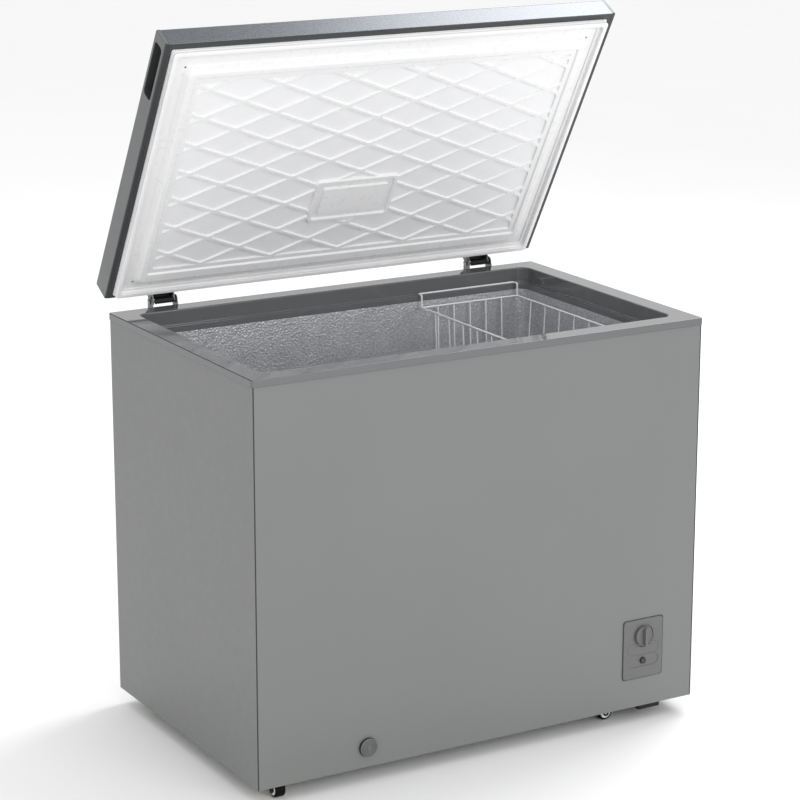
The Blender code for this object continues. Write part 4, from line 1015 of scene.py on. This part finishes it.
def make_hinge_shrouds():
    """The black hood over each spring, riding on the lid."""
    radius, thickness = 0.0080, 0.0009
    start, end = 75, 206
    for word in ("left", "right"):
        pin = middle(f"hinge_pin_{word}")
        spring_low, spring_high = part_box(f"hinge_spring_{word}")
        half = (spring_high.x - spring_low.x) / 2 + 0.0012
        outline = arc(pin.y, pin.z, radius, start, end, 16)
        outline += arc(pin.y, pin.z, radius - thickness, end, start, 16)
        hood = prism(outline, "X", pin.x - half, pin.x + half)
        place(link(f"hinge_hood_{word}", hood, LOOKS["black_plastic"]), "black_plastic", body="lid")


def screw(spot, axis, sign, radius=0.0036):
    """A pan-head screw; axis and sign say which way its head faces."""
    head = [(radius, 0.0), (radius, 0.0006), (radius * 0.86, 0.0014), (radius * 0.5, 0.0019),
            (0.0002, 0.0020)]
    return turned([(a, sign * w) for a, w in head], spot, axis, 24)


def make_screws():
    """Screws of the rear cover and of the hinges' brackets."""
    heads = []
    low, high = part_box("rear_cover")
    inset = 0.012
    gap, plate = 0.0003, 0.002
    for x in (low.x + inset, (low.x + high.x) / 2, high.x - inset):
        for z in (low.z + inset, high.z - inset):
            heads.append(screw((x, high.y, z), "Y", 1))
    for word in ("left", "right"):
        plate_low, plate_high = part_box(f"hinge_lower_bracket_{word}")
        x = (plate_low.x + plate_high.x) / 2
        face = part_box("back_panel")[1].y + gap + plate
        for dx in (-0.014, 0.014):
            for dz in (0.012, 0.040):
                heads.append(screw((x + dx, face, plate_low.z + dz), "Y", 1))
    place(link("case_screws", merge(heads), LOOKS["chrome"], 40), "chrome", body="cabinet")


# ---------------------------------------------------------------- stage

def make_stage():
    """A plain pale floor, soft light from all round, the front and the back right, and the camera."""
    floor_mat = Surface("pale_floor", (0.93, 0.93, 0.93), 0.85)
    floor_mat.mottle(floor_mat.noise(2.0, 2.0), 0.004)
    bm = turned([(60.0, 0.0), (60.0, -0.02)], (0, 0, -0.0005), steps=64)
    floor = link("pale_floor", bm, floor_mat.mat)

    world = bpy.data.worlds.new("soft_sky")
    world.use_nodes = True
    world.node_tree.nodes["Background"].inputs["Color"].default_value = (1.0, 1.0, 1.0, 1.0)
    world.node_tree.nodes["Background"].inputs["Strength"].default_value = 1.0
    bpy.context.scene.world = world

    lamps = (("key", (0.6, -5.2, 2.4), (0.0, 0.0, 0.8), (3.6, 2.4), 80.0),
             ("lid_edge", (2.75, 1.0, 3.6), (0.3, 0.1, 1.3), (1.8, 2.4), 90.0))
    for name, at, aim, size, power in lamps:
        light = bpy.data.lights.new(name, "AREA")
        light.shape = "RECTANGLE"
        light.size, light.size_y = size
        light.energy = power
        lamp = bpy.data.objects.new(name, light)
        lamp.location = at
        lamp.rotation_euler = (Vector(aim) - Vector(at)).to_track_quat("-Z", "Y").to_euler()
        bpy.context.scene.collection.objects.link(lamp)

    camera = bpy.data.cameras.new("camera")
    camera.lens = LENS_MM
    camera.sensor_width = SENSOR_MM
    viewer = bpy.data.objects.new("camera", camera)
    turn = Matrix.Rotation(-CAMERA_YAW, 4, "Z") @ Matrix.Rotation(math.pi / 2 - CAMERA_PITCH, 4, "X")
    viewer.matrix_world = Matrix.Translation(CAMERA_AT) @ turn @ Matrix.Rotation(CAMERA_ROLL, 4, "Z")
    bpy.context.scene.collection.objects.link(viewer)
    bpy.context.scene.camera = viewer
    bpy.context.scene.view_settings.view_transform = "Standard"


make_stage()
dress_nodes()
make_lid_panel()
make_gasket()
make_lid_skin()
make_rim()
make_gap_shade()
make_liner()
make_basket()
make_knob()
make_panel_marks()
make_panel_outline()
make_lamp()
make_drain_cap()
make_plug()
for wheel_word, wheel_axis in (("front_left", "X"), ("front_right", "Y"),
                               ("rear_left", "X"), ("rear_right", "X")):
    make_wheel(wheel_word, wheel_axis)
make_hinge_shrouds()
make_screws()
for cad_node in ("lid_end_cap_left", "lid_end_cap_right"):
    smooth_copy(cad_node, 0.0006, 3, LOOKS["cap_plastic"])
for cad_node in ("hinge_lower_bracket_left", "hinge_lower_bracket_right",
                 "hinge_upper_bracket_left", "hinge_upper_bracket_right"):
    smooth_copy(cad_node, 0.0003, 2, LOOKS["hinge_steel"])
for cad_node in ("hinge_spring_left", "hinge_spring_right"):
    smooth_copy(cad_node, 0.0, 2, LOOKS["spring_steel"])
for cad_node in ("lid_frame", "control_panel", "rear_cover", "side_vent_grille", "hinge_cover_left",
                 "hinge_cover_right", "front_left_caster_fork", "front_right_caster_fork",
                 "rear_left_caster_bracket", "rear_right_caster_bracket", "compressor_tray"):
    smooth_copy(cad_node, 0.0003)
for cad_node in ("hinge_pin_left", "hinge_pin_right"):
    smooth_copy(cad_node, 0.0, 2, LOOKS["spring_steel"])
for cad_node in ("cord_gland", "compressor"):
    smooth_copy(cad_node, 0.0)
